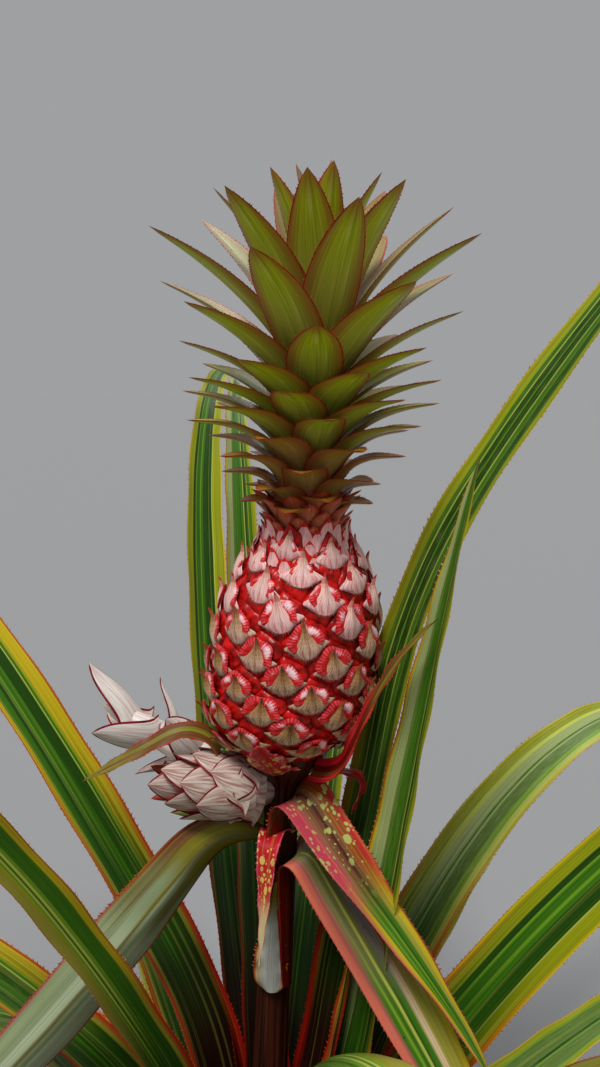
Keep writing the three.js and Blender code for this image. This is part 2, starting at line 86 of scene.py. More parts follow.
# Long leaves. Angles are degrees. heading: 0 is the front, 90 the right. rise is the slope at
# the root, turn what it loses between the bend's two shares of the length, arch what it loses
# towards the tip, and sweep how far the heading wanders.
ROSETTE = {
    "leaf_tall_right": dict(z=150, heading=83, length=860, width=41, rise=81.5, turn=17,
                            bend=(0.34, 0.56), arch=36, sweep=1, roll=-34, fold=0.4),
    "leaf_mid_right": dict(z=128, heading=64, length=505, width=42, rise=71, turn=-10,
                           bend=(0.05, 0.35), arch=5, sweep=-10, roll=-58, fold=0.4),
    "leaf_big_left": dict(z=140, heading=-104, length=800, width=45, rise=84.5, turn=26,
                          bend=(0.01, 0.24), arch=100, sweep=-27.5, roll=14.5, fold=0.3),
    "leaf_low_left": dict(z=119, heading=-43.5, length=690, width=36.6, rise=67.9, turn=5.3,
                          bend=(0, 0.32), arch=67.6, sweep=17.8, roll=62.3, fold=0.5),
    "leaf_arch_right": dict(z=110, heading=124, length=700, width=43, rise=64, turn=56,
                            bend=(0, 0.78), arch=56, sweep=19, roll=-24, fold=0.3),
    "leaf_low_right": dict(z=100, heading=76, length=700, width=46, rise=61, turn=8,
                           bend=(0.07, 0.57), arch=58, sweep=12, roll=-56, fold=0.4),
    "leaf_back_left": dict(z=170, heading=205, length=700, width=42, rise=68, turn=0,
                           bend=(0.3, 0.7), arch=86, sweep=-35, roll=-35, fold=0.4),
    "leaf_back_middle": dict(z=172, heading=193, length=640, width=38, rise=79, turn=7,
                             bend=(0.28, 0.7), arch=88, sweep=-12, roll=-37, fold=0.4),
    "leaf_far_left": dict(z=95, heading=-90, length=680, width=42, rise=63, turn=20,
                          bend=(0, 0.35), arch=62, sweep=4, roll=20, fold=0.4),
    "leaf_ground_left": dict(z=100, heading=-113, length=620, width=42, rise=70, turn=70,
                             bend=(0, 0.32), arch=28, sweep=5, roll=8, fold=0.3),
    "leaf_front_right": dict(z=140, heading=26, length=540, width=42, rise=78.2, turn=85,
                             bend=(0.05, 0.55), arch=42, sweep=10, roll=0, fold=-0.25),
}

# Lower, older leaves: height, heading, length and rise of each
LOWER_LEAVES = [
    (112, -22, 600, 60), (86, -50, 560, 50), (74, 3, 520, 42), (88, 50, 580, 50), (62, 98, 560, 40),
    (92, 142, 600, 42), (122, 168, 620, 62), (78, 183, 600, 48), (102, 217, 600, 54), (66, 242, 560, 42),
    (54, 266, 540, 34), (56, -64, 520, 34), (48, 27, 480, 28), (52, 72, 500, 32), (44, 122, 500, 27),
    (46, 205, 500, 29), (40, -20, 460, 25),
]

# Leaves and bracts on the fruit stalk
STALK_LEAVES = {
    "bract_pink_upper": dict(z=312, heading=26.6, length=302, width=44, rise=86, turn=127.5,
                             bend=(0.288, 0.371), arch=23.6, sweep=56, roll=-16.4, fold=0.35, taper=1.54,
                             flare=-0.7, flare_length=0.15),
    "bract_pink_lower": dict(z=283, heading=46, length=417, width=45.6, rise=87, turn=134.7,
                             bend=(0.186, 0.266), arch=41.5, sweep=19, roll=-24, fold=0.34, flare=-0.75,
                             flare_length=0.15, reach=14),
    "bract_grey_left": dict(z=380, heading=-64, length=380, width=45, rise=19.8, turn=68.3,
                            bend=(0, 0.142), arch=-6, sweep=-42.4, roll=-81.7, fold=0.5, flare=-0.8,
                            flare_length=0.11),
    "bract_red_tongue": dict(z=382, heading=-10, length=94, width=18, rise=38, turn=118,
                             bend=(0, 0.35), arch=0, sweep=-24, roll=0, fold=0.45, taper=0.8),
    "bract_curled": dict(z=425, heading=67, length=62, width=12, rise=0, turn=120,
                         bend=(0.45, 0.75), arch=-10, sweep=-12, roll=0, fold=0.2, reach=15),
    "bract_right": dict(z=427, heading=45, length=138, width=15, rise=8, turn=-59,
                        bend=(0.02, 0.27), arch=26, sweep=21, roll=-50, fold=0.4, taper=1.6, flare=0,
                        reach=26),
    "bract_left": dict(z=437, heading=-76, length=92, width=12, rise=52, turn=78,
                       bend=(0, 0.45), arch=0, sweep=-4, roll=40, fold=0.3, reach=40),
    "bract_speckled": dict(z=426, heading=-14, length=44, width=26, rise=30, turn=-24,
                           bend=(0.1, 0.9), arch=0, sweep=0, roll=0, fold=0.3, reach=22),
    "bract_brown_sheath": dict(z=280, heading=-6, length=84, width=24, rise=78, turn=0,
                               bend=(0, 1), arch=0, sweep=40, roll=0, fold=0.25, taper=1.3, flare=-0.6,
                               flare_length=0.06, reach=13.5),
}

# Fruit: radius of the outline by share of its height, and its spiral of fruitlets
FRUIT_OUTLINE = [
    [-0.15, 12], [0, 28], [0.07, 39], [0.16, 44.5], [0.27, 47], [0.55, 47], [0.75, 43], [0.9, 35], [1, 26],
]
FRUITLETS = 75
FRUITLET_START = 433
FRUITLET_STEP = 1.7
FRUIT_PHASE = -11
FULL_RADIUS = 47
NEIGHBOUR_STEPS = (5, 8, 13)
# How far the fruit's foot is drawn up, and the height over which that fades
FOOT_LIFT = 9
FOOT_LIFT_REACH = 80

# Crown: neck scales, then leaves that grow longer and steeper towards the top
CROWN_LEAVES = 76
CROWN_PHASE = -16.7
CROWN_FLARE = -0.45
CROWN_FLARE_LENGTH = 0.25
NECK_COUNT = 42
NECK_START = 558
NECK_HEIGHT = 20

# Side slips: where each leaves the stalk, where it points, and its size
SLIPS = {
    "slip_front": dict(z=409, heading=-58, out=-78, slope=10, length=56, radius=24, leaves=22,
                       leaf_length=32, least=0.8, leaf_width=36, spread=10, close=1.5, phase=20),
    "slip_back": dict(z=404, heading=-120, out=-107, slope=22, length=128, radius=13, leaves=10,
                      leaf_length=48, least=0.45, leaf_width=30, spread=36, close=0.7, phase=218),
    "slip_lower": dict(z=388, heading=-128, out=-118, slope=0, length=40, radius=9, leaves=9,
                       leaf_length=46, least=0.8, leaf_width=20, spread=26, close=1.5, phase=50),
}


# Small sums

def ease(share):
    t = np.clip(share, 0, 1)
    return t * t * (3 - 2 * t)


def read_pairs(pairs, place):
    return np.interp(place, [pair[0] for pair in pairs], [pair[1] for pair in pairs])


def heading_vector(degrees):
    turned = np.radians(np.asarray(degrees, float))
    return np.stack([np.sin(turned), -np.cos(turned), np.zeros_like(turned)], axis=-1)


def axis_point(z, heading, reach):
    """A point at a height, out from the leaning axis."""
    z = np.asarray(z, float)
    point = heading_vector(heading) * np.asarray(reach, float)[..., None]
    point[..., 0] += read_pairs(AXIS, z)
    point[..., 2] = z
    return point


# Colours

def paint(red, green, blue):
    """A screen colour, 0 to 255, as the colour that a shader takes."""
    return tuple(((value / 255 + 0.055) / 1.055) ** 2.4 for value in (red, green, blue)) + (1.0,)


DEEP_GREEN = paint(30, 66, 6)
LEAF_GREEN = paint(54, 104, 10)
LIGHT_GREEN = paint(104, 146, 30)
GREY_GREEN = paint(86, 114, 44)
YELLOW_GREEN = paint(138, 144, 14)
YELLOW = paint(180, 160, 20)
PALE_LINE = paint(176, 184, 78)
SILVER = paint(150, 164, 104)
ORANGE = paint(170, 84, 20)
RUST = paint(140, 58, 18)
RED = paint(158, 26, 14)
DARK_RED = paint(100, 14, 8)
MAROON = paint(58, 18, 10)
DARK_MAROON = paint(34, 12, 8)
OLIVE = paint(120, 112, 30)
YELLOW_OLIVE = paint(146, 140, 50)
BROWN = paint(104, 66, 34)
CRIMSON = paint(176, 22, 36)
PINK = paint(190, 58, 84)
DUSKY_PINK = paint(150, 84, 76)
LILAC = paint(126, 112, 116)
DUSKY_BROWN = paint(112, 62, 46)
DUSKY_GREEN = paint(112, 108, 66)
MINT = paint(136, 150, 112)
PALE_MINT = paint(170, 182, 150)
SALMON = paint(194, 96, 80)
BEIGE = paint(196, 172, 134)
BLACK_SPECK = paint(20, 16, 12)


class Finish:
    """One material, its nodes added and joined by short calls."""

    def __init__(self, name, roughness=0.5, coat=0.0, sheen=0.0, flesh=0.0):
        self.material = bpy.data.materials.new(name)
        self.material.use_nodes = True
        self.nodes = self.material.node_tree.nodes
        self.links = self.material.node_tree.links
        self.shader = self.nodes["Principled BSDF"]
        settings = {
            "Roughness": roughness,
            "Specular IOR Level": 0.14,
            "Coat Weight": coat,
            "Coat Roughness": 0.2,
            "Sheen Weight": sheen,
            "Sheen Roughness": 0.4,
            "Subsurface Weight": flesh,
            "Subsurface Radius": (0.004, 0.0015, 0.001),
        }
        for socket, value in settings.items():
            self.shader.inputs[socket].default_value = value

    def put(self, socket, value):
        if isinstance(value, bpy.types.NodeSocket):
            self.links.new(value, socket)
        else:
            socket.default_value = value

    def sum(self, operation, first, second=0.0):
        node = self.nodes.new("ShaderNodeMath")
        node.operation = operation
        self.put(node.inputs[0], first)
        self.put(node.inputs[1], second)
        return node.outputs[0]

    def mix(self, share, first, second, blend="MIX"):
        node = self.nodes.new("ShaderNodeMix")
        node.data_type = "RGBA"
        node.blend_type = blend
        self.put(node.inputs[0], share)
        self.put(node.inputs[6], first)
        self.put(node.inputs[7], second)
        return node.outputs[2]

    def ramp(self, place, stops):
        """A colour read from (place, colour) stops."""
        node = self.nodes.new("ShaderNodeValToRGB")
        points = node.color_ramp.elements
        while len(points) < len(stops):
            points.new(1.0)
        for point, (position, colour) in zip(points, stops):
            point.position = position
            point.color = colour
        self.put(node.inputs[0], place)
        return node.outputs[0]

    def step(self, value, start, end):
        """0 before start and 1 after end, smooth between them."""
        node = self.nodes.new("ShaderNodeMapRange")
        node.interpolation_type = "SMOOTHSTEP"
        self.put(node.inputs[0], value)
        node.inputs[1].default_value = start
        node.inputs[2].default_value = end
        return node.outputs[0]

    def blade(self, scales=(1, 1), offset=0.0):
        """The blade's own map: shares across and along, stretched by scales."""
        node = self.nodes.new("ShaderNodeUVMap")
        node.uv_map = "blade"
        return self.stretched(node.outputs[0], (*scales, 1), offset)

    def object(self, pitch):
        """The piece's own places, stretched alike in every direction."""
        node = self.nodes.new("ShaderNodeTexCoord")
        return self.stretched(node.outputs["Object"], (pitch, pitch, pitch), 0.0)

    def stretched(self, vector, scales, offset):
        node = self.nodes.new("ShaderNodeMapping")
        self.links.new(vector, node.inputs["Vector"])
        node.inputs["Location"].default_value = (0, 0, offset)
        node.inputs["Scale"].default_value = scales
        return node.outputs[0]

    def split(self, vector):
        node = self.nodes.new("ShaderNodeSeparateXYZ")
        self.links.new(vector, node.inputs[0])
        return node.outputs[0], node.outputs[1]

    def noise(self, vector, detail=2.0):
        node = self.nodes.new("ShaderNodeTexNoise")
        self.links.new(vector, node.inputs["Vector"])
        node.inputs["Scale"].default_value = 1.0
        node.inputs["Detail"].default_value = detail
        return node.outputs[0]

    def dots(self, vector, largest, share):
        """Round dots of uneven size in a share of the cells, 1 inside them."""
        node = self.nodes.new("ShaderNodeTexVoronoi")
        self.links.new(vector, node.inputs["Vector"])
        node.inputs["Scale"].default_value = 1.0
        chance, size = self.split(node.outputs["Color"])
        radius = self.sum("MULTIPLY", self.sum("ADD", size, 0.25), largest / 1.25)
        inside = self.step(self.sum("SUBTRACT", radius, node.outputs["Distance"]), 0.0, 0.06)
        return self.sum("MULTIPLY", inside, self.sum("LESS_THAN", chance, share))

    def done(self, colour, height, strength, distance):
        """The material, with its colour and with bumps that are distance metres high."""
        self.put(self.shader.inputs["Base Color"], colour)
        node = self.nodes.new("ShaderNodeBump")
        node.inputs["Strength"].default_value = strength
        node.inputs["Distance"].default_value = distance
        self.put(node.inputs["Height"], height)
        self.links.new(node.outputs[0], self.shader.inputs["Normal"])
        return self.material


def grey(value):
    return (value, value, value, 1.0)


def band_stops(bands, softness):
    """Stops for bands given as (end, colour), side by side across a blade."""
    stops = []
    start = 0.0
    for end, colour in bands:
        soft = min(softness, 0.45 * (end - start))
        stops.append((start + soft, colour))
        stops.append((end - soft, colour))
        start = end
    return stops


# Bands across a leaf, from its left margin to its right
BASE_BANDS = [(0.07, RED), (0.12, DARK_RED), (0.88, DARK_MAROON), (0.93, DARK_RED), (1, RED)]
GLOW_BANDS = [(0.03, RED), (0.08, RUST), (0.14, OLIVE), (0.5, DEEP_GREEN), (0.54, LEAF_GREEN),
              (0.86, DEEP_GREEN), (0.92, OLIVE), (0.97, RUST), (1, RED)]
LEAF_BANDS = {
    "broad": [(0.03, ORANGE), (0.1, YELLOW), (0.24, LEAF_GREEN), (0.3, DEEP_GREEN), (0.35, GREY_GREEN),
              (0.375, LIGHT_GREEN), (0.5, LEAF_GREEN), (0.68, DEEP_GREEN), (0.695, PALE_LINE),
              (0.74, LEAF_GREEN), (0.78, YELLOW_GREEN), (0.97, YELLOW), (1, ORANGE)],
    "keel": [(0.03, ORANGE), (0.34, YELLOW_OLIVE), (0.42, YELLOW_GREEN), (0.48, LIGHT_GREEN),
             (0.52, PALE_LINE), (0.56, LEAF_GREEN), (0.6, PALE_LINE), (0.66, LIGHT_GREEN),
             (0.88, LEAF_GREEN), (0.98, YELLOW), (1, ORANGE)],
    "striped": [(0.03, YELLOW), (0.16, YELLOW_GREEN), (0.24, LEAF_GREEN), (0.26, PALE_LINE),
                (0.36, DEEP_GREEN), (0.38, LIGHT_GREEN), (0.5, DEEP_GREEN), (0.52, PALE_LINE),
                (0.64, LEAF_GREEN), (0.66, LIGHT_GREEN), (0.8, DEEP_GREEN), (0.86, LEAF_GREEN),
                (0.97, YELLOW_GREEN), (1, YELLOW)],
    "silver": [(0.03, ORANGE), (0.08, YELLOW), (0.3, SILVER), (0.38, GREY_GREEN), (0.56, LEAF_GREEN),
               (0.58, DEEP_GREEN), (0.66, LEAF_GREEN), (0.68, PALE_LINE), (0.78, DEEP_GREEN),
               (0.8, YELLOW_GREEN), (0.88, LEAF_GREEN), (0.97, YELLOW_GREEN), (1, YELLOW)],
    "bloom": [(0.03, YELLOW), (0.12, YELLOW_GREEN), (0.16, LIGHT_GREEN), (0.44, GREY_GREEN),
              (0.5, DEEP_GREEN), (0.54, LIGHT_GREEN), (0.84, GREY_GREEN), (0.88, LIGHT_GREEN),
              (0.97, YELLOW_GREEN), (1, YELLOW)],
    "pale": [(0.03, YELLOW), (0.2, YELLOW_GREEN), (0.28, PALE_LINE), (0.46, SILVER), (0.5, LEAF_GREEN),
             (0.54, SILVER), (0.74, GREY_GREEN), (0.84, LIGHT_GREEN), (0.95, PALE_LINE), (1, YELLOW)],
    "edged": [(0.04, YELLOW), (0.2, YELLOW_GREEN), (0.28, DEEP_GREEN), (0.31, LIGHT_GREEN),
              (0.42, LEAF_GREEN), (0.46, LIGHT_GREEN), (0.52, LEAF_GREEN), (0.74, DEEP_GREEN),
              (0.76, PALE_LINE), (0.96, YELLOW_GREEN), (1, YELLOW)],
}

# Bands and bloom of each leaf in the rosette
LEAF_LOOKS = {
    "leaf_tall_right": ("striped", 0.25),
    "leaf_mid_right": ("silver", 0.2),
    "leaf_big_left": ("broad", 0.0),
    "leaf_low_left": ("keel", 0.05),
    "leaf_arch_right": ("pale", 0.5),
    "leaf_low_right": ("edged", 0.0),
    "leaf_back_left": ("edged", 0.05),
    "leaf_back_middle": ("silver", 0.05),
    "leaf_far_left": ("broad", 0.2),
    "leaf_ground_left": ("bloom", 0.4),
    "leaf_front_right": ("keel", 0.3),
}


# Shares of a blade's length between which its scurf starts, and the cell of its dark specks
BARE_OF_SCURF = (0.2, 0.4)
SPECK_CELL = 5


def freckled(finish, colour, along, size, seed, freckles):
    """The colour with dots of two sizes over it, in patches that fade out along the blade."""
    width, length = size
    patch = finish.step(finish.noise(finish.blade((3, 16), seed + 2)), *freckles["patch"])
    shown = 0.0
    for cell in (freckles["cell"], 0.45 * freckles["cell"]):
        spots = finish.blade((width / cell, length / cell), seed + cell)
        shown = finish.sum("MAXIMUM", shown, finish.dots(spots, 0.5, freckles["share"]))
    fading = finish.sum("SUBTRACT", 1.0, finish.step(along, *freckles["fade"]))
    shown = finish.sum("MULTIPLY", finish.sum("MULTIPLY", shown, patch), fading)
    return finish.mix(finish.sum("MULTIPLY", shown, 0.85), colour, freckles["colour"])


def leaf_finish(name, stages, size, bloom=0.1, lines=0.4, specks=0.02, freckles=None, seed=0.0, shine=0.42,
                softness=0.008):
    """A blade's finish. stages are (start, end, bands), each laid over the last from the root up.

    bloom is the share of grey scurf, lines the strength of the lengthwise lines and specks the
    share of cells with a dark speck. softness is the width over which one band turns to the next.
    """
    finish = Finish(name, roughness=shine)
    width, length = size
    fine = finish.noise(finish.blade((width * 2.2, 2.5), seed), detail=3)
    broad = finish.noise(finish.blade((width * 0.5, 1.2), seed + 5), detail=1)
    grain = finish.noise(finish.blade((width * 1.3, length * 0.07), seed + 9), detail=4)
    sway = finish.noise(finish.blade((0, 8), seed + 3), detail=1)
    across, along = finish.split(finish.blade())
    across = finish.sum("ADD", across, finish.sum("MULTIPLY", finish.sum("SUBTRACT", sway, 0.5), 0.03))
    along = finish.sum("ADD", along, finish.sum("MULTIPLY", finish.sum("SUBTRACT", fine, 0.5), 0.09))
    colour = finish.ramp(across, band_stops(stages[0][2], softness))
    for start, end, bands in stages[1:]:
        banded = finish.ramp(across, band_stops(bands, softness))
        colour = finish.mix(finish.step(along, start, end), colour, banded)
    tone = finish.ramp(fine, [(0.3, grey(1 - lines)), (0.5, grey(1)), (0.72, grey(1 + lines * 0.7))])
    colour = finish.mix(1.0, colour, tone, "MULTIPLY")
    colour = finish.mix(finish.sum("MULTIPLY", finish.step(broad, 0.58, 0.66), 0.12), colour, PALE_LINE)
    scurf = finish.sum("MULTIPLY", finish.step(grain, 0.42, 0.7), 0.75 * bloom)
    scurf = finish.sum("MULTIPLY", scurf, finish.step(along, *BARE_OF_SCURF))
    colour = finish.mix(scurf, colour, SILVER)
    if freckles:
        colour = freckled(finish, colour, along, size, seed, freckles)
    dirt = finish.dots(finish.blade((width / SPECK_CELL, length / SPECK_CELL), seed + 4), 0.16, specks)
    colour = finish.mix(dirt, colour, BLACK_SPECK)
    height = finish.sum("ADD", finish.sum("MULTIPLY", fine, 1.0), finish.sum("MULTIPLY", grain, 0.25))
    return finish.done(colour, height, strength=0.35, distance=0.0006)


def even_finish(name, colour, shade, roughness=0.5, coat=0.0, sheen=0.0, flesh=0.0, pitch=400, relief=0.3):
    """A nearly even colour that drifts to a shade, with a fine grain."""
    finish = Finish(name, roughness=roughness, coat=coat, sheen=sheen, flesh=flesh)
    drift = finish.noise(finish.object(pitch), detail=3)
    mixed = finish.mix(finish.step(drift, 0.35, 0.68), colour, shade)
    return finish.done(mixed, drift, strength=relief, distance=0.0004)


def streaked_finish(name, colour, shade, streaks=(14, 1.5), roughness=0.5, coat=0.0, sheen=0.0, relief=0.4):
    """A colour with streaks that run along the blade."""
    finish = Finish(name, roughness=roughness, coat=coat, sheen=sheen)
    streak = finish.noise(finish.blade(streaks), detail=3)
    mixed = finish.mix(finish.step(streak, 0.38, 0.66), colour, shade)
    return finish.done(mixed, streak, strength=relief, distance=0.0005)


# Meshes

@functools.lru_cache(maxsize=None)
def quads(columns, rows):
    """A flat sheet of quads: each corner's shares across and along, and the faces' corners."""
    sheet = bmesh.new()
    bmesh.ops.create_grid(sheet, x_segments=columns, y_segments=rows, size=1)
    sheet.verts.index_update()
    places = np.array([corner.co[:2] for corner in sheet.verts])
    faces = np.array([[corner.index for corner in face.verts] for face in sheet.faces])
    sheet.free()
    low, high = places.min(axis=0), places.max(axis=0)
    shares = (places - low) / (high - low)
    return shares[:, 0], shares[:, 1], faces


def there_and_back(ring):
    """Shares across a blade: 0 to 1 over its top and back to 0 over its underside."""
    return 1 - np.abs(2 * ring - 1)


def from_middle(ring):
    """How far places across a blade lie from its middle, up to 1 at its margins."""
    return np.abs(2 * there_and_back(ring) - 1)


def closed_rows(row, rows):
    """Shares along a blade that ends in points, and whether each place is one of those points."""
    s = np.clip((row * rows - 1) / (rows - 1), 0, 1)
    return s, (row < 0.5 / rows) | (row > 1 - 0.5 / rows)


def stood(places, stand):
    """Places in a slip's own frame, moved to where the slip stands."""
    return places @ stand[:3, :3].T + stand[:3, 3]


def point_faces(count, corners):
    """Faces of many small points of four corners each."""
    firsts = np.arange(count)[:, None, None] * 4
    return (firsts + np.array(corners)).reshape(-1, 3)


class Gathered:
    """Sheets of faces put together as one piece."""

    def __init__(self):
        self.places = []
        self.faces = []
        self.shares = []
        self.dealt = []
        self.count = 0

    def add(self, places, faces, shares, dealt):
        self.places.append(places)
        self.faces.append(faces + self.count)
        self.shares.append(shares)
        self.dealt.append(np.broadcast_to(dealt, len(faces)))
        self.count += len(places)

    def make(self, name, finishes, slot, nodes=(), crease=55):
        mesh = bpy.data.meshes.new(name)
        faces = [corners for rows in self.faces for corners in rows.tolist()]
        mesh.from_pydata((np.concatenate(self.places) * MM).tolist(), [], faces)
        layer = mesh.uv_layers.new(name="blade")
        corners = np.concatenate([rows.ravel() for rows in self.faces])
        layer.data.foreach_set("uv", np.concatenate(self.shares)[corners].ravel())
        mesh.polygons.foreach_set("material_index", np.concatenate(self.dealt).astype(np.int32))
        closed = bmesh.new()
        closed.from_mesh(mesh)
        bmesh.ops.remove_doubles(closed, verts=closed.verts, dist=1e-7)
        bmesh.ops.dissolve_degenerate(closed, edges=closed.edges, dist=1e-8)
        bmesh.ops.recalc_face_normals(closed, faces=closed.faces)
        closed.to_mesh(mesh)
        closed.free()
        mesh.shade_smooth()
        mesh.set_sharp_from_angle(angle=math.radians(crease))
        for finish in finishes:
            mesh.materials.append(finish)
        piece = bpy.data.objects.new(name, mesh)
        bpy.context.scene.collection.objects.link(piece)
        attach(piece, "root")
        if nodes:
            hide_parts(*nodes)


# The leaf rule

def slope_at(leaf, s):
    start, end = leaf["bend"]
    return leaf["rise"] - leaf["turn"] * ease((s - start) / (end - start)) - leaf["arch"] * s ** 3


def leaf_spine(leaf):
    """Places and directions down the middle of a blade, in equal steps from its root."""
    s = np.linspace(0, 1, SPINE_STEPS + 1)
    slope = np.radians(slope_at(leaf, s))[:, None]
    out = heading_vector(leaf["heading"] + leaf["sweep"] * s)
    along = out * np.cos(slope) + UP * np.sin(slope)
    face = UP * np.cos(slope) - out * np.sin(slope)
    side = np.cross(along, face)
    roll = math.radians(leaf["roll"])
    across = side * math.cos(roll) + face * math.sin(roll)
    lift = face * math.cos(roll) - side * math.sin(roll)
    steps = np.cumsum(along[:-1] * leaf["length"] / SPINE_STEPS, axis=0)
    places = leaf["root"] + np.vstack([np.zeros(3), steps])
    return np.hstack([places, along, across, lift])


def spine_at(spine, s):
    marks = np.linspace(0, 1, SPINE_STEPS + 1)
    read = np.stack([np.interp(s, marks, column) for column in spine.T], axis=-1)
    return read[:, 0:3], read[:, 3:6], read[:, 6:9], read[:, 9:12]


def leaf_width(leaf, s):
    taper = (1 - np.clip(s, 0, 1) ** leaf.get("taper", TAPER_START_POWER)) ** TAPER_END_POWER
    flare = leaf.get("flare", BASE_FLARE) * np.exp(-s / leaf.get("flare_length", BASE_FLARE_LENGTH))
    return leaf["width"] * taper * (1 + flare)


def section(leaf, spine, s, share):
    """Points on a blade's middle surface: share runs 0 to 1 from its left margin to its right."""
    place, _, across, lift = spine_at(spine, s)
    half = leaf_width(leaf, s) / 2
    side = 2 * share - 1
    edge = np.abs(side)
    channel = leaf["fold"] * (1 - FOLD_LOST_AT_TIP * s) * half * edge ** leaf.get("curl", 1.5)
    ripple = leaf.get("ripple", 0) * edge ** 2 * np.sin(leaf.get("waves", 9) * math.tau * s + 2 * side)
    return place + across * (side * half)[:, None] + lift * (channel + ripple)[:, None]


def blade(leaf, columns, rows, thickness, margin=0.0):
    """A closed thin blade: the top from margin to margin, then the underside back again.

    With a margin, the outermost columns are as wide as it is, in millimetres.
    """
    ring, row, faces = quads(2 * columns, rows)
    s, pinched = closed_rows(row, rows)
    share = there_and_back(ring)
    if margin:
        inner = np.minimum(WIDEST_MARGIN, margin / np.maximum(leaf_width(leaf, s), 0.1))
        first = 1 / columns
        middle = inner + (share - first) / (1 - 2 * first) * (1 - 2 * inner)
        share = np.where(share < first * 1.01, share / first * inner,
                         np.where(share > 1 - first * 1.01, 1 - (1 - share) / first * inner, middle))
    spine = leaf_spine(leaf)
    places = section(leaf, spine, s, np.where(pinched, 0.5, share))
    _, _, _, lift = spine_at(spine, s)
    body = (1 - np.abs(2 * share - 1) ** 3) * thickness / 2 * (1 - THICKNESS_LOST_AT_TIP * s)
    body = np.where(pinched, 0, body) * np.where(ring < 0.5, 1, -1)
    shares = np.stack([share, s], axis=-1)
    return places + lift * body[:, None], faces, shares, ring[faces].mean(axis=1)


def spines(leaf, pitch, length, start, end=0.97, seed=0):
    """Small forward-leaning spines along both margins, as three-sided points."""
    random = np.random.default_rng(seed)
    count = int(leaf["length"] * (end - start) / pitch)
    spine = leaf_spine(leaf)
    corners = []
    for side in (0.0, 1.0):
        s = start + (end - start) * (np.arange(count) + random.uniform(0.2, 0.8, count)) / count
        _, along, _, lift = spine_at(spine, s)
        edge = section(leaf, spine, s, np.full(count, side))
        inside = section(leaf, spine, s, np.full(count, abs(side - 0.08)))
        outward = edge - inside
        outward /= np.linalg.norm(outward, axis=1)[:, None] + 1e-9
        size = length * random.uniform(0.7, 1.2, count) * np.minimum(1, leaf_width(leaf, s) / 12)
        size = size[:, None]
        edge = edge - outward * size * SPINE_SUNK
        corners.append(np.stack([
            edge - along * size * SPINE_BACK,
            edge + along * size * SPINE_FORWARD,
            edge - lift * size * SPINE_DOWN,
            edge + outward * size * SPINE_OUT + along * size * SPINE_LEAN,
        ], axis=1))
    corners = np.concatenate(corners).reshape(-1, 3)
    faces = point_faces(len(corners) // 4, [[0, 1, 3], [1, 2, 3], [2, 0, 3], [0, 2, 1]])
    return corners, faces, np.full((len(corners), 2), 0.5)


def rooted(leaf, reach):
    return {**leaf, "root": axis_point(leaf["z"], leaf["heading"], reach)}


# Long leaves

LEAF_WIDTH = 42
LEAF_LENGTH = 650
LEAF_COLUMNS = 12
LEAF_ROWS = 120
LEAF_THICKNESS = 2.6
STALK_LEAF_ROWS = 80
STALK_LEAF_THICKNESS = 2.0

# Shares of a long leaf's length between which its red base gives way to a green with red
# margins, and that to its own bands
GLOW_START, GLOW_END = 0.1, 0.24
BANDS_START, BANDS_END = 0.22, 0.42

# Where a long leaf's spines start, turn from red to cream, and end
SPINES_START, SPINES_TURN, SPINES_END = 0.05, 0.34, 0.97
SPINE_PITCH = 4.0
SPINE_LENGTH = 1.35


def lower_leaf(z, heading, length, rise):
    """A lower leaf, which differs from the others by small swings with its heading."""
    return dict(z=z, heading=heading, length=length, rise=rise, width=LEAF_WIDTH, turn=0.45 * rise,
                bend=(0, 0.55), arch=0.75 * rise, sweep=8 * math.sin(math.radians(3 * heading)),
                roll=10 * math.sin(math.radians(5 * heading)), fold=0.35)


def underside_finish():
    bands = [(0.05, ORANGE), (0.12, YELLOW_GREEN), (0.3, GREY_GREEN), (0.36, SILVER), (0.48, GREY_GREEN),
             (0.52, SILVER), (0.7, GREY_GREEN), (0.74, LIGHT_GREEN), (0.88, GREY_GREEN),
             (0.95, YELLOW_GREEN), (1, ORANGE)]
    stages = [(0, 0, BASE_BANDS), (0.12, 0.3, GLOW_BANDS), (BANDS_START, BANDS_END, bands)]
    return leaf_finish("leaf underside", stages, (LEAF_WIDTH, LEAF_LENGTH), bloom=0.55, lines=0.35, seed=31,
                       shine=0.55)


def spine_finish(name, colour, shade):
    return even_finish(name, colour, shade, roughness=0.5, pitch=60, relief=0.0)


def leaf_nodes(name):
    """The solids that a whole leaf stands for: one, or a base and a tip."""
    halves = [f"{name}_base", f"{name}_tip"]
    return halves if halves[0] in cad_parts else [name]


def long_leaf(name, leaf, finishes, slot, rows=LEAF_ROWS, thickness=LEAF_THICKNESS):
    made = Gathered()
    places, faces, shares, ring = blade(leaf, LEAF_COLUMNS, rows, thickness)
    made.add(places, faces, shares, np.where(ring < 0.5, 0, 1))
    made.make(name, finishes, slot, leaf_nodes(name))


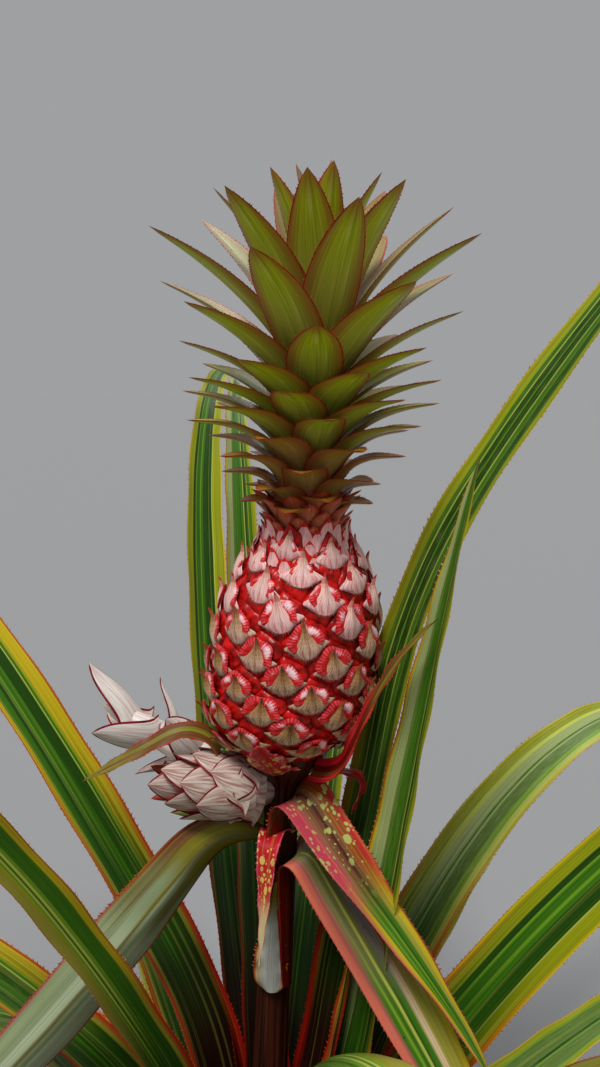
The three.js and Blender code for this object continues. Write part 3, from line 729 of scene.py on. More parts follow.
def rosette():
    underside = underside_finish()
    points = Gathered()
    looks = list(LEAF_BANDS)
    leaves = {name: rooted({**row, "ripple": 0.8}, STEM_REACH) for name, row in ROSETTE.items()}
    for number, row in enumerate(LOWER_LEAVES, start=1):
        leaves[f"leaf_lower_{number:02d}"] = rooted({**lower_leaf(*row), "ripple": 1.2}, STEM_REACH)
    for number, (name, leaf) in enumerate(leaves.items()):
        look, bloom = LEAF_LOOKS.get(name, (looks[number % len(looks)], 0.2))
        stages = [(0, 0, BASE_BANDS), (GLOW_START, GLOW_END, GLOW_BANDS),
                  (BANDS_START, BANDS_END, LEAF_BANDS[look])]
        finish = leaf_finish(f"{name} finish", stages, (leaf["width"], leaf["length"]), bloom=bloom,
                             seed=number * 1.7)
        long_leaf(name, leaf, [finish, underside], "leaf")
        for start, end, tint in ((SPINES_START, SPINES_TURN, 0), (SPINES_TURN, SPINES_END, 1)):
            points.add(*spines(leaf, SPINE_PITCH, SPINE_LENGTH, start, end, seed=number), tint)
    finishes = [spine_finish("spines red", RED, ORANGE), spine_finish("spines cream", BEIGE, ORANGE)]
    points.make("leaf_margin_spines", finishes, "leaf", crease=180)


# Leaves on the stalk

def stalk_leaf_finishes():
    pink = [(0.12, CRIMSON), (0.3, RUST), (0.4, DUSKY_BROWN), (0.45, MAROON), (0.6, DUSKY_BROWN),
            (0.7, DUSKY_PINK), (1, PINK)]
    pink_green = [(0.04, RUST), (0.16, YELLOW), (0.3, YELLOW_OLIVE), (0.42, LEAF_GREEN), (0.48, DEEP_GREEN),
                  (0.52, LIGHT_GREEN), (0.66, LEAF_GREEN), (0.7, LIGHT_GREEN), (0.78, LEAF_GREEN),
                  (0.92, YELLOW), (1, SALMON)]
    tip_green = [(0.03, ORANGE), (0.12, YELLOW), (0.28, YELLOW_GREEN), (0.44, LEAF_GREEN),
                 (0.5, LIGHT_GREEN), (0.76, LEAF_GREEN), (0.9, YELLOW_GREEN), (1, ORANGE)]
    sheath = [(0.1, RED), (0.16, ORANGE), (0.5, BEIGE), (0.84, GREY_GREEN), (0.9, ORANGE), (1, RED)]
    dusky = [(0.1, SALMON), (0.34, DUSKY_PINK), (0.46, LILAC), (0.56, DUSKY_GREEN), (0.58, PALE_LINE),
             (0.76, DUSKY_GREEN), (0.86, DUSKY_PINK), (1, SALMON)]
    dusky_green = [(0.1, YELLOW), (0.3, YELLOW_OLIVE), (0.4, BEIGE), (0.5, LEAF_GREEN), (0.54, DEEP_GREEN),
                   (0.57, PALE_LINE), (0.68, LEAF_GREEN), (0.7, LIGHT_GREEN), (0.8, LEAF_GREEN),
                   (0.84, DUSKY_PINK), (1, SALMON)]
    grey_left = [(0.04, RUST), (0.24, DUSKY_GREEN), (0.42, MINT), (0.48, OLIVE), (0.54, PALE_MINT),
                 (0.62, MINT), (0.82, DUSKY_GREEN), (0.96, MINT), (1, RUST)]
    pale_left = [(0.04, DUSKY_PINK), (0.28, MINT), (0.44, PALE_MINT), (0.5, DUSKY_GREEN), (0.62, MINT),
                 (0.96, PALE_MINT), (1, DUSKY_PINK)]
    olive_left = [(0.05, DARK_RED), (0.18, BROWN), (0.45, OLIVE), (0.6, DUSKY_GREEN), (0.9, OLIVE),
                  (1, DARK_RED)]
    crimson = [(0.08, PINK), (0.5, CRIMSON), (0.92, CRIMSON), (1, PINK)]
    deep_crimson = [(0.3, CRIMSON), (0.7, DARK_RED), (1, CRIMSON)]
    dry = [(0.06, DUSKY_PINK), (0.5, BEIGE), (0.94, BEIGE), (1, DUSKY_PINK)]
    olive_dry = [(0.06, RED), (0.45, BROWN), (0.7, OLIVE), (0.94, BROWN), (1, RED)]
    olive_tip = [(0.06, BROWN), (0.4, OLIVE), (0.6, BROWN), (0.94, OLIVE), (1, BROWN)]
    whitish = [(0.08, ORANGE), (0.2, BEIGE), (0.8, paint(198, 200, 196)), (0.94, BEIGE), (1, ORANGE)]
    brownish = [(0.08, ORANGE), (0.3, BROWN), (0.7, OLIVE), (0.92, BROWN), (1, ORANGE)]
    yellow = dict(cell=6, share=0.85, fade=(0.6, 0.8), patch=(0.3, 0.45), colour=paint(212, 190, 96))
    lime = dict(cell=7, share=0.75, fade=(0.46, 0.6), patch=(0.38, 0.5), colour=paint(172, 182, 100))
    return {
        "bract_pink_upper": dict(stages=[(0, 0, sheath), (0.25, 0.32, pink), (0.5, 0.64, pink_green),
                                         (0.9, 0.98, tip_green)], freckles=lime, lines=0.25, softness=0.03),
        "bract_pink_lower": dict(stages=[(0, 0, sheath), (0.18, 0.24, dusky), (0.36, 0.5, dusky_green),
                                         (0.8, 0.95, tip_green)], lines=0.3, softness=0.025),
        "bract_grey_left": dict(stages=[(0, 0, olive_left), (0.12, 0.2, grey_left),
                                        (0.22, 0.32, pale_left)],
                                lines=0.25, bloom=0.0, specks=0.1, softness=0.02),
        "bract_red_tongue": dict(stages=[(0, 0, crimson), (0.5, 0.72, dry)], freckles=yellow, lines=0.3),
        "bract_curled": dict(stages=[(0, 0, crimson)], lines=0.3),
        "bract_right": dict(stages=[(0, 0, deep_crimson), (0.45, 0.62, olive_dry), (0.7, 0.95, olive_tip)],
                            lines=0.3),
        "bract_left": dict(stages=[(0, 0, olive_dry), (0.5, 0.8, olive_tip)], lines=0.3, bloom=0.0,
                           specks=0.2),
        "bract_speckled": dict(stages=[(0, 0, crimson)], freckles=yellow, lines=0.2),
        "bract_brown_sheath": dict(stages=[(0, 0, whitish), (0.55, 0.85, brownish)], lines=0.3, specks=0.2,
                                   softness=0.03),
    }


# Bracts with the same colours on both faces
BOTH_FACES = ("bract_curled", "bract_right", "bract_speckled", "bract_brown_sheath", "bract_left",
              "bract_grey_left", "bract_red_tongue")


def stalk_leaves():
    points = Gathered()
    back_bands = [(0.06, RED), (0.3, MAROON), (0.7, MAROON), (0.94, DARK_RED), (1, RED)]
    back_green = [(0.06, SALMON), (0.3, GREY_GREEN), (0.5, SILVER), (0.7, GREY_GREEN), (0.94, OLIVE),
                  (1, SALMON)]
    back = leaf_finish("bract underside", [(0, 0, back_bands), (0.35, 0.6, back_green)], (36, 400),
                       bloom=0.4, seed=41)
    slots = {"bract_pink_upper": "bract_pink", "bract_pink_lower": "bract_pink", "bract_grey_left": "leaf",
             "bract_left": "bract_olive", "bract_right": "bract_olive"}
    for number, (name, recipe) in enumerate(stalk_leaf_finishes().items()):
        row = STALK_LEAVES[name]
        leaf = rooted({**row, "ripple": 0.7, "waves": 5}, row.get("reach", STALK_LEAF_REACH))
        finish = leaf_finish(f"{name} finish", size=(leaf["width"], leaf["length"]), seed=50 + number * 2.3,
                             shine=0.36, **recipe)
        under = finish if name in BOTH_FACES else back
        long_leaf(name, leaf, [finish, under], slots.get(name, "bract_red"), STALK_LEAF_ROWS,
                  STALK_LEAF_THICKNESS)
        points.add(*spines(leaf, pitch=3.6, length=1.5, start=0.2, seed=100 + number), 0)
    finish = spine_finish("bract spines", paint(196, 60, 70), SALMON)
    points.make("bract_margin_spines", [finish], "bract_red", crease=180)


# Stem and stalk

def revolved(profile, columns, rows, relief=None):
    """A closed body of revolution round the leaning axis, with its poles on the axis."""
    ring, row, faces = quads(columns, rows)
    heights = [0.0] + list(np.cumsum([math.dist(a, b) for a, b in zip(profile, profile[1:])]))
    marks = np.array(heights) / heights[-1]
    radius = np.interp(row, marks, [pair[0] for pair in profile])
    z = np.interp(row, marks, [pair[1] for pair in profile])
    if relief is not None:
        radius = np.where(radius > 0.5, radius + relief(ring, z), radius)
    return axis_point(z, 360 * ring, radius), faces, np.stack([ring, row], axis=-1)


SCAR_HEIGHT = 6
RING_HEIGHT = 300
STALK_RIBS = 14


def stem():
    """The stout stem, ringed with the scars of old leaves."""
    bark = streaked_finish("stem bark", paint(112, 84, 56), paint(58, 38, 24), streaks=(30, 9),
                           roughness=0.8, relief=0.7)
    made = Gathered()

    def scars(ring, z):
        return 1.3 * np.abs(np.sin(z / SCAR_HEIGHT + 2 * np.sin(ring * math.tau))) - 0.8

    profile = [[0, 0], [0.01, 0]] + STEM_PROFILE + [[0, STEM_TOP]]
    made.add(*revolved(profile, 48, 120, scars), 0)
    made.make("stem", [bark], "stem", ["stem"])


def fruit_stalk():
    """The ribbed stalk, with its joint ring, that widens into a foot under the fruit."""
    skin = streaked_finish("stalk skin", paint(70, 30, 18), paint(28, 10, 8), streaks=(40, 3),
                           roughness=0.45, coat=0.1, relief=0.8)
    made = Gathered()

    def ribs(ring, z):
        return 0.35 * np.sin(ring * math.tau * STALK_RIBS) + 0.5 * np.exp(-((z - RING_HEIGHT) / 3) ** 2)

    profile = [[0, STEM_TOP + 0.3], [11.3, STEM_TOP + 0.3], [9.6, RING_HEIGHT], [10.4, 400],
               [11.5, 414], [19, 422], [26, 429], [27, 440], [0, 441]]
    made.add(*revolved(profile, 84, 80, ribs), 0)
    made.make("fruit_stalk", [skin], "stalk", ["fruit_stalk"])


# Fruit

def fruit_radius(z):
    """The outline's radius, with its corners rounded."""
    share = (np.asarray(z, float) - FRUIT_BASE) / (FRUIT_TOP - FRUIT_BASE)
    shifts = (-0.04, -0.02, 0, 0.02, 0.04)
    return sum(read_pairs(FRUIT_OUTLINE, share + shift) for shift in shifts) / len(shifts)


def fruit_frame(heading, z):
    """Outward, rightward and upward directions on the fruit's outline."""
    lean = np.arctan((fruit_radius(z + 1) - fruit_radius(z - 1)) / 2)
    flat = heading_vector(heading)
    lean = np.asarray(lean)[..., None]
    outward = flat * np.cos(lean) - UP * np.sin(lean)
    upward = flat * np.sin(lean) + UP * np.cos(lean)
    return outward, np.cross(upward, outward), upward


def fruit_point(heading, z, raised):
    outward, _, _ = fruit_frame(heading, z)
    return axis_point(z, heading, fruit_radius(z)) + outward * np.asarray(raised, float)[..., None]


def lift_foot(places):
    """Points on the fruit, with those near its foot drawn up and the rest left alone."""
    lift = FOOT_LIFT * (1 - ease((places[..., 2] - FRUIT_BASE) / FOOT_LIFT_REACH))
    return places + UP * lift[..., None]


def fruitlet_place(index):
    return FRUIT_PHASE + SPIRAL_TURN * index, FRUITLET_START + FRUITLET_STEP * index


def cell_border(angle):
    """How far a fruitlet's cell reaches at an angle, on the fruit's widest part."""
    steps = np.array([
        [math.radians((SPIRAL_TURN * step + 180) % 360 - 180) * FULL_RADIUS, FRUITLET_STEP * step]
        for step in NEIGHBOUR_STEPS
    ])
    steps = np.vstack([steps, -steps])
    direction = np.stack([np.cos(angle), np.sin(angle)], axis=-1)
    nearness = direction @ steps.T / (0.5 * (steps ** 2).sum(axis=1))
    return 1 / nearness.max(axis=1)


CELL_COLUMNS = 48
CELL_ROWS = 9

# A fruitlet's rim from its middle outwards: share of its rows, reach as a share of its cell, and
# height above the outline
CELL_PROFILE = [(0, 0, 1.2), (0.15, 0.3, 1.3), (0.3, 0.55, 1.5), (0.45, 0.74, 1.5), (0.58, 0.86, 1.1),
                (0.68, 0.95, 0.6), (0.78, 1.01, 0.0), (0.89, 1.05, -0.7), (1, 0, -9)]
RIM_SHARE = 0.8

# Waves round each rim: how many, and how high
LUMPS = ((3, 0.4), (8, 0.3), (15, 0.25))
LOWEST_CELL = FRUIT_BASE - 4
CELLS_BELOW = 10
EXTRA_FRUITLETS = 3


def fruit_cells():
    """Glossy swollen rims that tile the fruit, with dark red grooves between them, darkened further as
    painted shade.
    """
    made = Gathered()
    random = np.random.default_rng(3)
    ring, row, faces = quads(CELL_COLUMNS, CELL_ROWS)
    angle = ring * math.tau
    marks, reaches, heights = zip(*CELL_PROFILE)
    reach = cell_border(angle) * np.interp(row, marks, reaches)
    raised = np.interp(row, marks, heights)
    # Faces past RIM_SHARE of the rows are the grooves; their darker colour is partly painted shade
    dealt = np.where(row[faces].mean(axis=1) < RIM_SHARE, 0, 1)
    for index in range(-CELLS_BELOW, FRUITLETS + EXTRA_FRUITLETS):
        heading, z = fruitlet_place(index)
        around = heading + np.degrees(reach * np.cos(angle) / FULL_RADIUS)
        height = np.maximum(z + reach * np.sin(angle), LOWEST_CELL)
        swell = raised * (0.55 + 0.45 * fruit_radius(z) / FULL_RADIUS)
        lumps = sum(rise * np.sin(waves * angle + random.uniform(0, 6)) for waves, rise in LUMPS)
        swell = swell + lumps * np.sin(np.clip(row / 0.95, 0, 1) * math.pi)
        places = lift_foot(fruit_point(around, height, swell))
        made.add(places, faces, np.stack([ring, row], axis=-1), dealt)
    rim = even_finish("fruitlet rim", paint(204, 20, 14), paint(112, 6, 6), roughness=0.34, coat=0.15,
                      flesh=0.1, pitch=170, relief=0.5)
    # The grooves' colour: the fruit's dark red, made darker as painted shade between the fruitlets
    groove_painted_shade = even_finish("fruitlet groove", paint(126, 8, 6), paint(76, 4, 4), roughness=0.5, pitch=300)
    made.make("fruit_rims", [rim, groove_painted_shade], "fruit", ["fruit"], crease=70)


# A bract's half width by share of its length, how far it hangs below the fruitlet's middle, and
# how much its lower edge curves up to its wings
BRACT_HALF_WIDTHS = [(0, 9.2), (0.05, 11.0), (0.12, 12.6), (0.2, 12.4), (0.27, 10.2), (0.35, 7.4),
                     (0.45, 5.2), (0.58, 3.4), (0.75, 1.9), (0.9, 0.9), (1, 0)]
BRACT_DROP = 9.6
BRACT_EDGE_CURVE = 5.6
BRACT_STAND = 1.9
BRACT_COLUMNS = 24
BRACT_ROWS = 20


def fruitlet_bract(length, spread, lift, tip_out):
    """A downy bract: a fan below, drawn in to a beak that stands out. Right, up and out places."""
    ring, row, faces = quads(BRACT_COLUMNS, BRACT_ROWS)
    v, pinched = closed_rows(row, BRACT_ROWS)
    share = there_and_back(ring)
    side = 2 * share - 1
    half = read_pairs(BRACT_HALF_WIDTHS, v) * spread
    right = np.where(pinched, 0, side * half)
    curve = np.where(pinched, 0, BRACT_EDGE_CURVE * (1 - v) ** 2 * side ** 2)
    up = -BRACT_DROP + (BRACT_DROP + length) * v + curve
    ridge = BRACT_STAND + lift * np.sin(np.clip(v * 1.3, 0, 1) * math.pi) + tip_out * v ** 2.2
    drawn = 1.1 + 2.4 * np.exp(-((v - 0.5) / 0.24) ** 2)
    out = ridge - np.where(pinched, 0, drawn * np.abs(side) ** 1.6)
    out = out + 0.22 * np.sin(share * math.tau * 6.5) * (1 - v) ** 2 - right ** 2 / (2 * FULL_RADIUS)
    body = np.where(pinched, 0, (1 - side ** 4) * 0.5) * np.where(ring < 0.5, 1, -1)
    return np.stack([right, up, out + body], axis=-1), faces, np.stack([share, v], axis=-1), v


PETAL_STRIPES = 20
PETAL_ROWS = 11
PETAL_START = -24
PETAL_SWEEP = 228


def fruitlet_petals(reach, turned):
    """The ribbed hood of petal bases behind the beak, as a fan of stripes round it."""
    ring, row, faces = quads(4 * PETAL_STRIPES, PETAL_ROWS)
    v, pinched = closed_rows(row, PETAL_ROWS)
    share = there_and_back(ring)
    stripes = np.sin(share * math.tau * PETAL_STRIPES)
    angle = np.radians(PETAL_START + PETAL_SWEEP * share + turned)
    ragged = 1 + 0.07 * np.sin(share * math.tau * 3 + turned) + 0.05 * stripes
    distance = np.where(pinched, np.where(row < 0.5, 0.2, reach * 0.8), (0.2 + 0.8 * v) * reach * ragged)
    angle = np.where(pinched, math.radians(90 + turned), angle)
    ribs = 0.22 * stripes * v
    out = BRACT_STAND + 1.7 * np.sin(np.clip(v * 0.95, 0, 1) * math.pi) + np.where(pinched, 0, ribs)
    body = np.where(pinched, -0.4, 0.3) * np.where(ring < 0.5, 1, -1)
    right = distance * np.cos(angle)
    up = 0.2 + distance * np.sin(angle) * 0.98
    return np.stack([right, up, out + body], axis=-1), faces, np.stack([share, v], axis=-1), share, v


def petal_colours(share, v, right_pale_and_highlight_strength, left_pale_and_highlight_strength):
    """0 white, 1 pale, 2 pink, 3 red for each face: a striped rim, and pale blotches with a painted
    highlight on its sides.
    """
    stripe = np.sin(share * math.tau * PETAL_STRIPES)
    dealt = np.where((v > 0.62) & (stripe > 0.1), 2, 3)
    # The blotches' white middles are a painted highlight over pale petal, mostly stronger on the right
    right_pale_and_highlight = np.exp(-((share - 0.3) / 0.17) ** 2) * right_pale_and_highlight_strength
    left_pale_and_highlight = np.exp(-((share - 0.7) / 0.13) ** 2) * left_pale_and_highlight_strength
    shown = np.maximum(right_pale_and_highlight, left_pale_and_highlight) * np.exp(-((v - 0.58) / 0.3) ** 2) + 0.07 * stripe
    for least, colour in ((0.36, 2), (0.54, 1), (0.78, 0)):
        dealt = np.where(shown > least, colour, dealt)
    return dealt


HAIRS = 44
HAIR_LENGTH = 1.7
HAIR_HALF_WIDTH = 0.26
FRINGE_HALF_WIDTH = 9.4


def fringe(random, spread):
    """Short pale hairs below a bract's rounded edge, as slim points."""
    side = np.linspace(-0.98, 0.98, HAIRS) + random.uniform(-0.02, 0.02, HAIRS)
    edge = -BRACT_DROP + BRACT_EDGE_CURVE * side ** 2
    stand = BRACT_STAND - 1.1 * np.abs(side) ** 1.6
    root = np.stack([side * FRINGE_HALF_WIDTH * spread, edge + 0.9, stand], axis=-1)
    way = np.stack([side * 0.7, -1 + 0.4 * side ** 2, np.full_like(side, 0.1)], axis=-1)
    hair = (0.9 + HAIR_LENGTH * random.uniform(0.4, 1.2, HAIRS))[:, None]
    across = np.array([HAIR_HALF_WIDTH, 0.0, 0.0])
    corners = np.stack([root - across, root + across, root + [0, 0, -0.5], root + way * hair], axis=1)
    return corners.reshape(-1, 3), point_faces(HAIRS, [[0, 1, 3], [1, 2, 3], [2, 0, 3]])


# Shares of the fruit's height from which each set of bract colours is used
BRACT_SETS = [0, 0.3, 0.5, 0.68]
BRACT_ZONES = 8
BRACT_LIFT = 2.6
PETAL_REACH = 11.7


def mixed_paint(low, high, share):
    return tuple(a + (b - a) * share for a, b in zip(low, high))


def bract_finishes():
    """Downy finishes from a bract's lower edge to its point, for older ones to younger ones."""
    sets = {
        "oldest": [((214, 184, 152), (150, 112, 82)), ((182, 144, 102), (128, 90, 54)),
                   ((146, 100, 52), (106, 62, 26)), ((150, 60, 24), (110, 32, 12))],
        "old": [((218, 186, 158), (164, 112, 88)), ((188, 150, 112), (134, 92, 60)),
                ((146, 104, 56), (108, 66, 28)), ((156, 66, 28), (112, 34, 12))],
        "middle": [((228, 190, 172), (178, 112, 98)), ((206, 172, 142), (156, 106, 80)),
                   ((162, 128, 84), (120, 80, 42)), ((170, 72, 36), (128, 38, 18))],
        "young": [((236, 186, 184), (206, 110, 114)), ((236, 204, 198), (206, 144, 140)),
                  ((234, 200, 188), (204, 138, 122)), ((206, 74, 56), (170, 30, 22))],
    }
    finishes = []
    for age, pairs in sets.items():
        for zone in range(BRACT_ZONES):
            place = zone / (BRACT_ZONES - 1) * (len(pairs) - 1)
            first = min(int(place), len(pairs) - 2)
            ends = zip(pairs[first], pairs[first + 1])
            colour, shade = (mixed_paint(paint(*low), paint(*high), place - first) for low, high in ends)
            finishes.append(streaked_finish(f"bract {age} {zone}", colour, shade, streaks=(22, 2.2),
                                            roughness=0.85, sheen=0.2, relief=0.6))
    return finishes


def fruitlets():
    """Every fruitlet's bract, petal hood and fringe, each a little different from the next."""
    bracts, petals, hairs = Gathered(), Gathered(), Gathered()
    random = np.random.default_rng(7)
    for index in range(FRUITLETS + EXTRA_FRUITLETS):
        heading, z = fruitlet_place(index)
        share = index / (FRUITLETS - 1)
        outward, rightward, upward = fruit_frame(heading, z)
        size = math.sqrt(fruit_radius(z) / FULL_RADIUS)
        turn = np.stack([rightward, upward, outward]) * size
        origin = fruit_point(heading, z, 0.6)
        young = float(ease((share - 0.5) / 0.4))
        oldest = float(1 - ease(share / 0.26))
        tilt = random.uniform(-0.22, 0.22)
        cosine, sine = math.cos(tilt), math.sin(tilt)
        turn = np.array([[cosine, sine, 0], [-sine, cosine, 0], [0, 0, 1]]) @ turn
        length = 11.8 + random.uniform(-1, 2) + 4.0 * young - 2 * oldest
        spread = (1.02 + 0.16 * young + 0.36 * oldest) * random.uniform(0.92, 1.08)
        tip_out = 4.8 + random.uniform(-1, 2.5)
        places, faces, shares, v = fruitlet_bract(length, spread, BRACT_LIFT, tip_out)
        zone = np.clip((v[faces].mean(axis=1) * BRACT_ZONES).astype(int), 0, BRACT_ZONES - 1)
        age = np.searchsorted(BRACT_SETS, share + random.uniform(-0.05, 0.05), side="right") - 1
        bracts.add(lift_foot(places @ turn + origin), faces, shares,
                   zone + BRACT_ZONES * max(0, int(age)))
        reach = PETAL_REACH * random.uniform(0.92, 1.06) * (1 - 0.3 * float(ease((share - 0.7) / 0.25)))
        places, faces, shares, across, v = fruitlet_petals(reach, random.uniform(-12, 12))
        # Strengths of the pale blotches with their painted highlight, on the right and on the left
        right_pale_and_highlight_strength, left_pale_and_highlight_strength = random.uniform(0.6, 1.25), random.uniform(0.2, 1.1)
        colours = petal_colours(across[faces].mean(axis=1), v[faces].mean(axis=1), right_pale_and_highlight_strength, left_pale_and_highlight_strength)
        petals.add(lift_foot(places @ turn + origin), faces, shares, colours)
        places, faces = fringe(random, spread)
        hairs.add(lift_foot(places @ turn + origin), faces, np.full((len(places), 2), 0.5), 0)
    bracts.make("fruit_bracts", bract_finishes(), "fruit", crease=60)
    # The white and pale petal finishes are pale petal colour with a painted highlight on it
    petal = [
        streaked_finish("petal white", paint(246, 222, 224), paint(232, 180, 186), roughness=0.3, coat=0.3),
        streaked_finish("petal pale", paint(238, 172, 180), paint(222, 124, 134), roughness=0.35, coat=0.2),
        streaked_finish("petal pink", paint(218, 84, 92), paint(194, 40, 50), roughness=0.35, coat=0.2),
        streaked_finish("petal red", paint(208, 30, 30), paint(166, 14, 14), roughness=0.3, coat=0.25),
    ]
    petals.make("fruit_petals", petal, "fruit", crease=60)
    hair = even_finish("bract hairs", paint(236, 208, 190), paint(206, 168, 146), roughness=0.8, sheen=0.3)
    hairs.make("fruit_fringes", [hair], "fruit", crease=180)


SHOULDER_SCALES = 60
SHOULDER_STEP = 0.4


def shoulder_scales():
    """Small unopened bracts on the fruit's shoulder, close together below the neck."""
    made = Gathered()
    random = np.random.default_rng(17)
    for i in range(SHOULDER_SCALES):
        z = FRUIT_TOP + 6 - SHOULDER_STEP * i
        heading = FRUIT_PHASE + SPIRAL_TURN * (FRUITLETS - i) + random.uniform(-5, 5)
        lean = float(np.degrees(np.arctan((fruit_radius(z - 1) - fruit_radius(z + 1)) / 2)))
        leaf = dict(z=z, heading=heading, length=13 + random.uniform(-1, 3), width=13, rise=86 + 0.7 * lean,
                    turn=14 + 14 * random.uniform(0, 1), bend=(0.2, 1), arch=0, sweep=0, roll=0, fold=0.35,
                    flare=-0.1, flare_length=0.2, taper=1.6)
        leaf = rooted(leaf, float(fruit_radius(z)) - 1.5)
        places, faces, shares, ring = blade(leaf, columns=8, rows=12, thickness=2.0, margin=0.8)
        across = from_middle(ring)
        along = shares[faces][:, :, 1].mean(axis=1)
        made.add(places, faces, shares, np.where((across > 0.8) | (along > 0.8), 1, 0))
    down = dict(streaks=(18, 2), roughness=0.7, sheen=0.2, relief=0.5)
    finishes = [
        streaked_finish("shoulder scale down", paint(246, 204, 202), paint(228, 142, 142), **down),
        streaked_finish("shoulder scale edge", paint(222, 52, 46), paint(182, 24, 20), **down),
    ]
    made.make("fruit_shoulder_scales", finishes, "fruit", crease=60)


# Crown

def crown_core_radius(share):
    return 21 - 14 * np.maximum(0, share)


def crown_leaf(i):
    """A crown leaf by its number from the lowest, and its share of the way to the top one."""
    share = i / (CROWN_LEAVES - 1)
    young = 48 * ease((share - 0.55) / 0.25) - 30 * ease((share - 0.75) / 0.25)
    lean = 5 + 25 * min(1, share / 0.65) ** 1.5 + 55 * max(0, (share - 0.65) / 0.35) ** 1.7
    old = float(1 - ease(share / 0.6))
    leaf = dict(z=CROWN_LEAF_START + (CROWN_LEAF_END - CROWN_LEAF_START) * share ** 1.15 - 8 * old,
                heading=CROWN_PHASE + SPIRAL_TURN * i, length=float(33 + 41 * ease(share / 0.4) + young),
                width=float(30 + 8 * ease(share / 0.7)), rise=lean + 14 + 47 * old, turn=22 + 44 * old,
                bend=(0.08 * old, 1 - 0.25 * old), arch=0, sweep=0, roll=0, fold=0.3, flare=CROWN_FLARE,
                flare_length=CROWN_FLARE_LENGTH, curl=1.8)
    return rooted(leaf, 0.7 * crown_core_radius(share)), share


def neck_scale(i):
    share = i / NECK_COUNT
    leaf = dict(z=NECK_START + NECK_HEIGHT * share, heading=FRUIT_PHASE + SPIRAL_TURN * (FRUITLETS + i),
                length=15 + 11 * share, width=14 + 6 * share, rise=76 - 6 * share, turn=22 + 20 * share,
                bend=(0, 1), arch=0, sweep=0, roll=0, fold=0.3, flare=CROWN_FLARE,
                flare_length=CROWN_FLARE_LENGTH)
    return rooted(leaf, 19)


def crown_face_finish(name, colour, shade, light, red=0.75):
    """Waxy olive face with pale ribs, flushed red towards its margins and tip."""
    finish = Finish(name, roughness=0.4, coat=0.15)
    rib = finish.noise(finish.blade((26, 1.6)), detail=3)
    broad = finish.noise(finish.blade((7, 1.2), 4), detail=1)
    grain = finish.noise(finish.object(900), detail=2)
    across, along = finish.split(finish.blade())
    side = finish.sum("ABSOLUTE", finish.sum("SUBTRACT", finish.sum("MULTIPLY", across, 2.0), 1.0))
    mixed = finish.mix(finish.step(rib, 0.35, 0.68), colour, shade)
    mixed = finish.mix(finish.sum("MULTIPLY", finish.step(broad, 0.52, 0.62), 0.5), mixed, light)
    waxy = finish.sum("MULTIPLY", finish.sum("SUBTRACT", 1.0, finish.step(along, 0.3, 0.8)), 0.3)
    mixed = finish.mix(waxy, mixed, paint(176, 160, 120))
    flush = finish.sum("MAXIMUM", finish.step(side, 0.35, 1.0), finish.step(along, 0.78, 1.0))
    mixed = finish.mix(finish.sum("MULTIPLY", flush, red), mixed, paint(150, 50, 24))
    mixed = finish.mix(finish.sum("MULTIPLY", finish.step(grain, 0.5, 0.8), 0.08), mixed, SILVER)
    return finish.done(mixed, rib, strength=0.35, distance=0.0005)


CROWN_LEAF_COLUMNS = 10

# Shares of the crown's leaves, counted up from the lowest: golden below the first, and with
# paler upper faces above the second
LOW_CROWN = 0.3
PALE_CROWN = 0.55


def crown_leaves(finishes, points):
    """The crown's leaves in three pieces from the lowest up. Their spines go to points."""
    names = ("crown_leaves_low", "crown_leaves_middle", "crown_leaves_top")
    groups = {name: Gathered() for name in names}
    for i in range(CROWN_LEAVES):
        leaf, share = crown_leaf(i)
        name = names[min(2, int(share * 3))]
        places, faces, shares, ring = blade(leaf, CROWN_LEAF_COLUMNS, rows=18, thickness=2.4, margin=0.6)
        across = from_middle(ring)
        face = 3 if share < LOW_CROWN else 0
        upper = 1 if share > PALE_CROWN else face
        dealt = np.where(across > 1 - 2 / CROWN_LEAF_COLUMNS, 2, np.where(ring < 0.5, upper, face))
        groups[name].add(places, faces, shares, dealt)
        points.add(*spines(leaf, pitch=2.6, length=1.0, start=0.1, end=0.96, seed=200 + i), 0)
    for name, group in groups.items():
        group.make(name, finishes, "crown", ["crown"] if name == names[0] else ())


def neck_scales(finishes, points):
    """The short scales between the fruit and the crown's leaves. Their spines go to points."""
    neck = Gathered()
    for i in range(NECK_COUNT):
        leaf = neck_scale(i)
        places, faces, shares, ring = blade(leaf, columns=8, rows=10, thickness=2.2, margin=1.0)
        neck.add(places, faces, shares, np.where(from_middle(ring) > 0.75, 1, 0))
        points.add(*spines(leaf, pitch=2.2, length=0.9, start=0.15, end=0.95, seed=300 + i), 0)
    neck.make("crown_neck_scales", finishes, "crown")


def crown_core(finish):
    """The axis that the crown's leaves stand on."""
    core = Gathered()
    start, end = FRUIT_TOP - 6, CROWN_LEAF_END + 4
    profile = [[0, start], [24, start], [crown_core_radius(0), CROWN_LEAF_START],
               [crown_core_radius(1), end], [0, end]]
    core.add(*revolved(profile, 32, 40), 0)
    core.make("crown_core", [finish], "crown")


def crown():
    outer = crown_face_finish("crown leaf outer", paint(190, 202, 34), paint(146, 166, 20),
                              paint(220, 220, 112))
    inner = crown_face_finish("crown leaf inner", paint(156, 150, 98), paint(126, 126, 70),
                              paint(196, 182, 150), red=0.5)
    low = crown_face_finish("crown leaf low", paint(192, 150, 50), paint(168, 122, 32),
                            paint(210, 178, 100))
    edge = even_finish("crown leaf margin", paint(176, 62, 36), paint(146, 34, 20), roughness=0.4,
                       pitch=200, relief=0.1)
    scale = crown_face_finish("neck scale face", paint(204, 110, 78), paint(184, 60, 44),
                              paint(224, 160, 136))
    points = Gathered()
    crown_leaves([outer, inner, edge, low], points)
    neck_scales([scale, edge], points)
    points.make("crown_margin_spines", [edge], "crown", crease=180)
    crown_core(scale)


# Slips

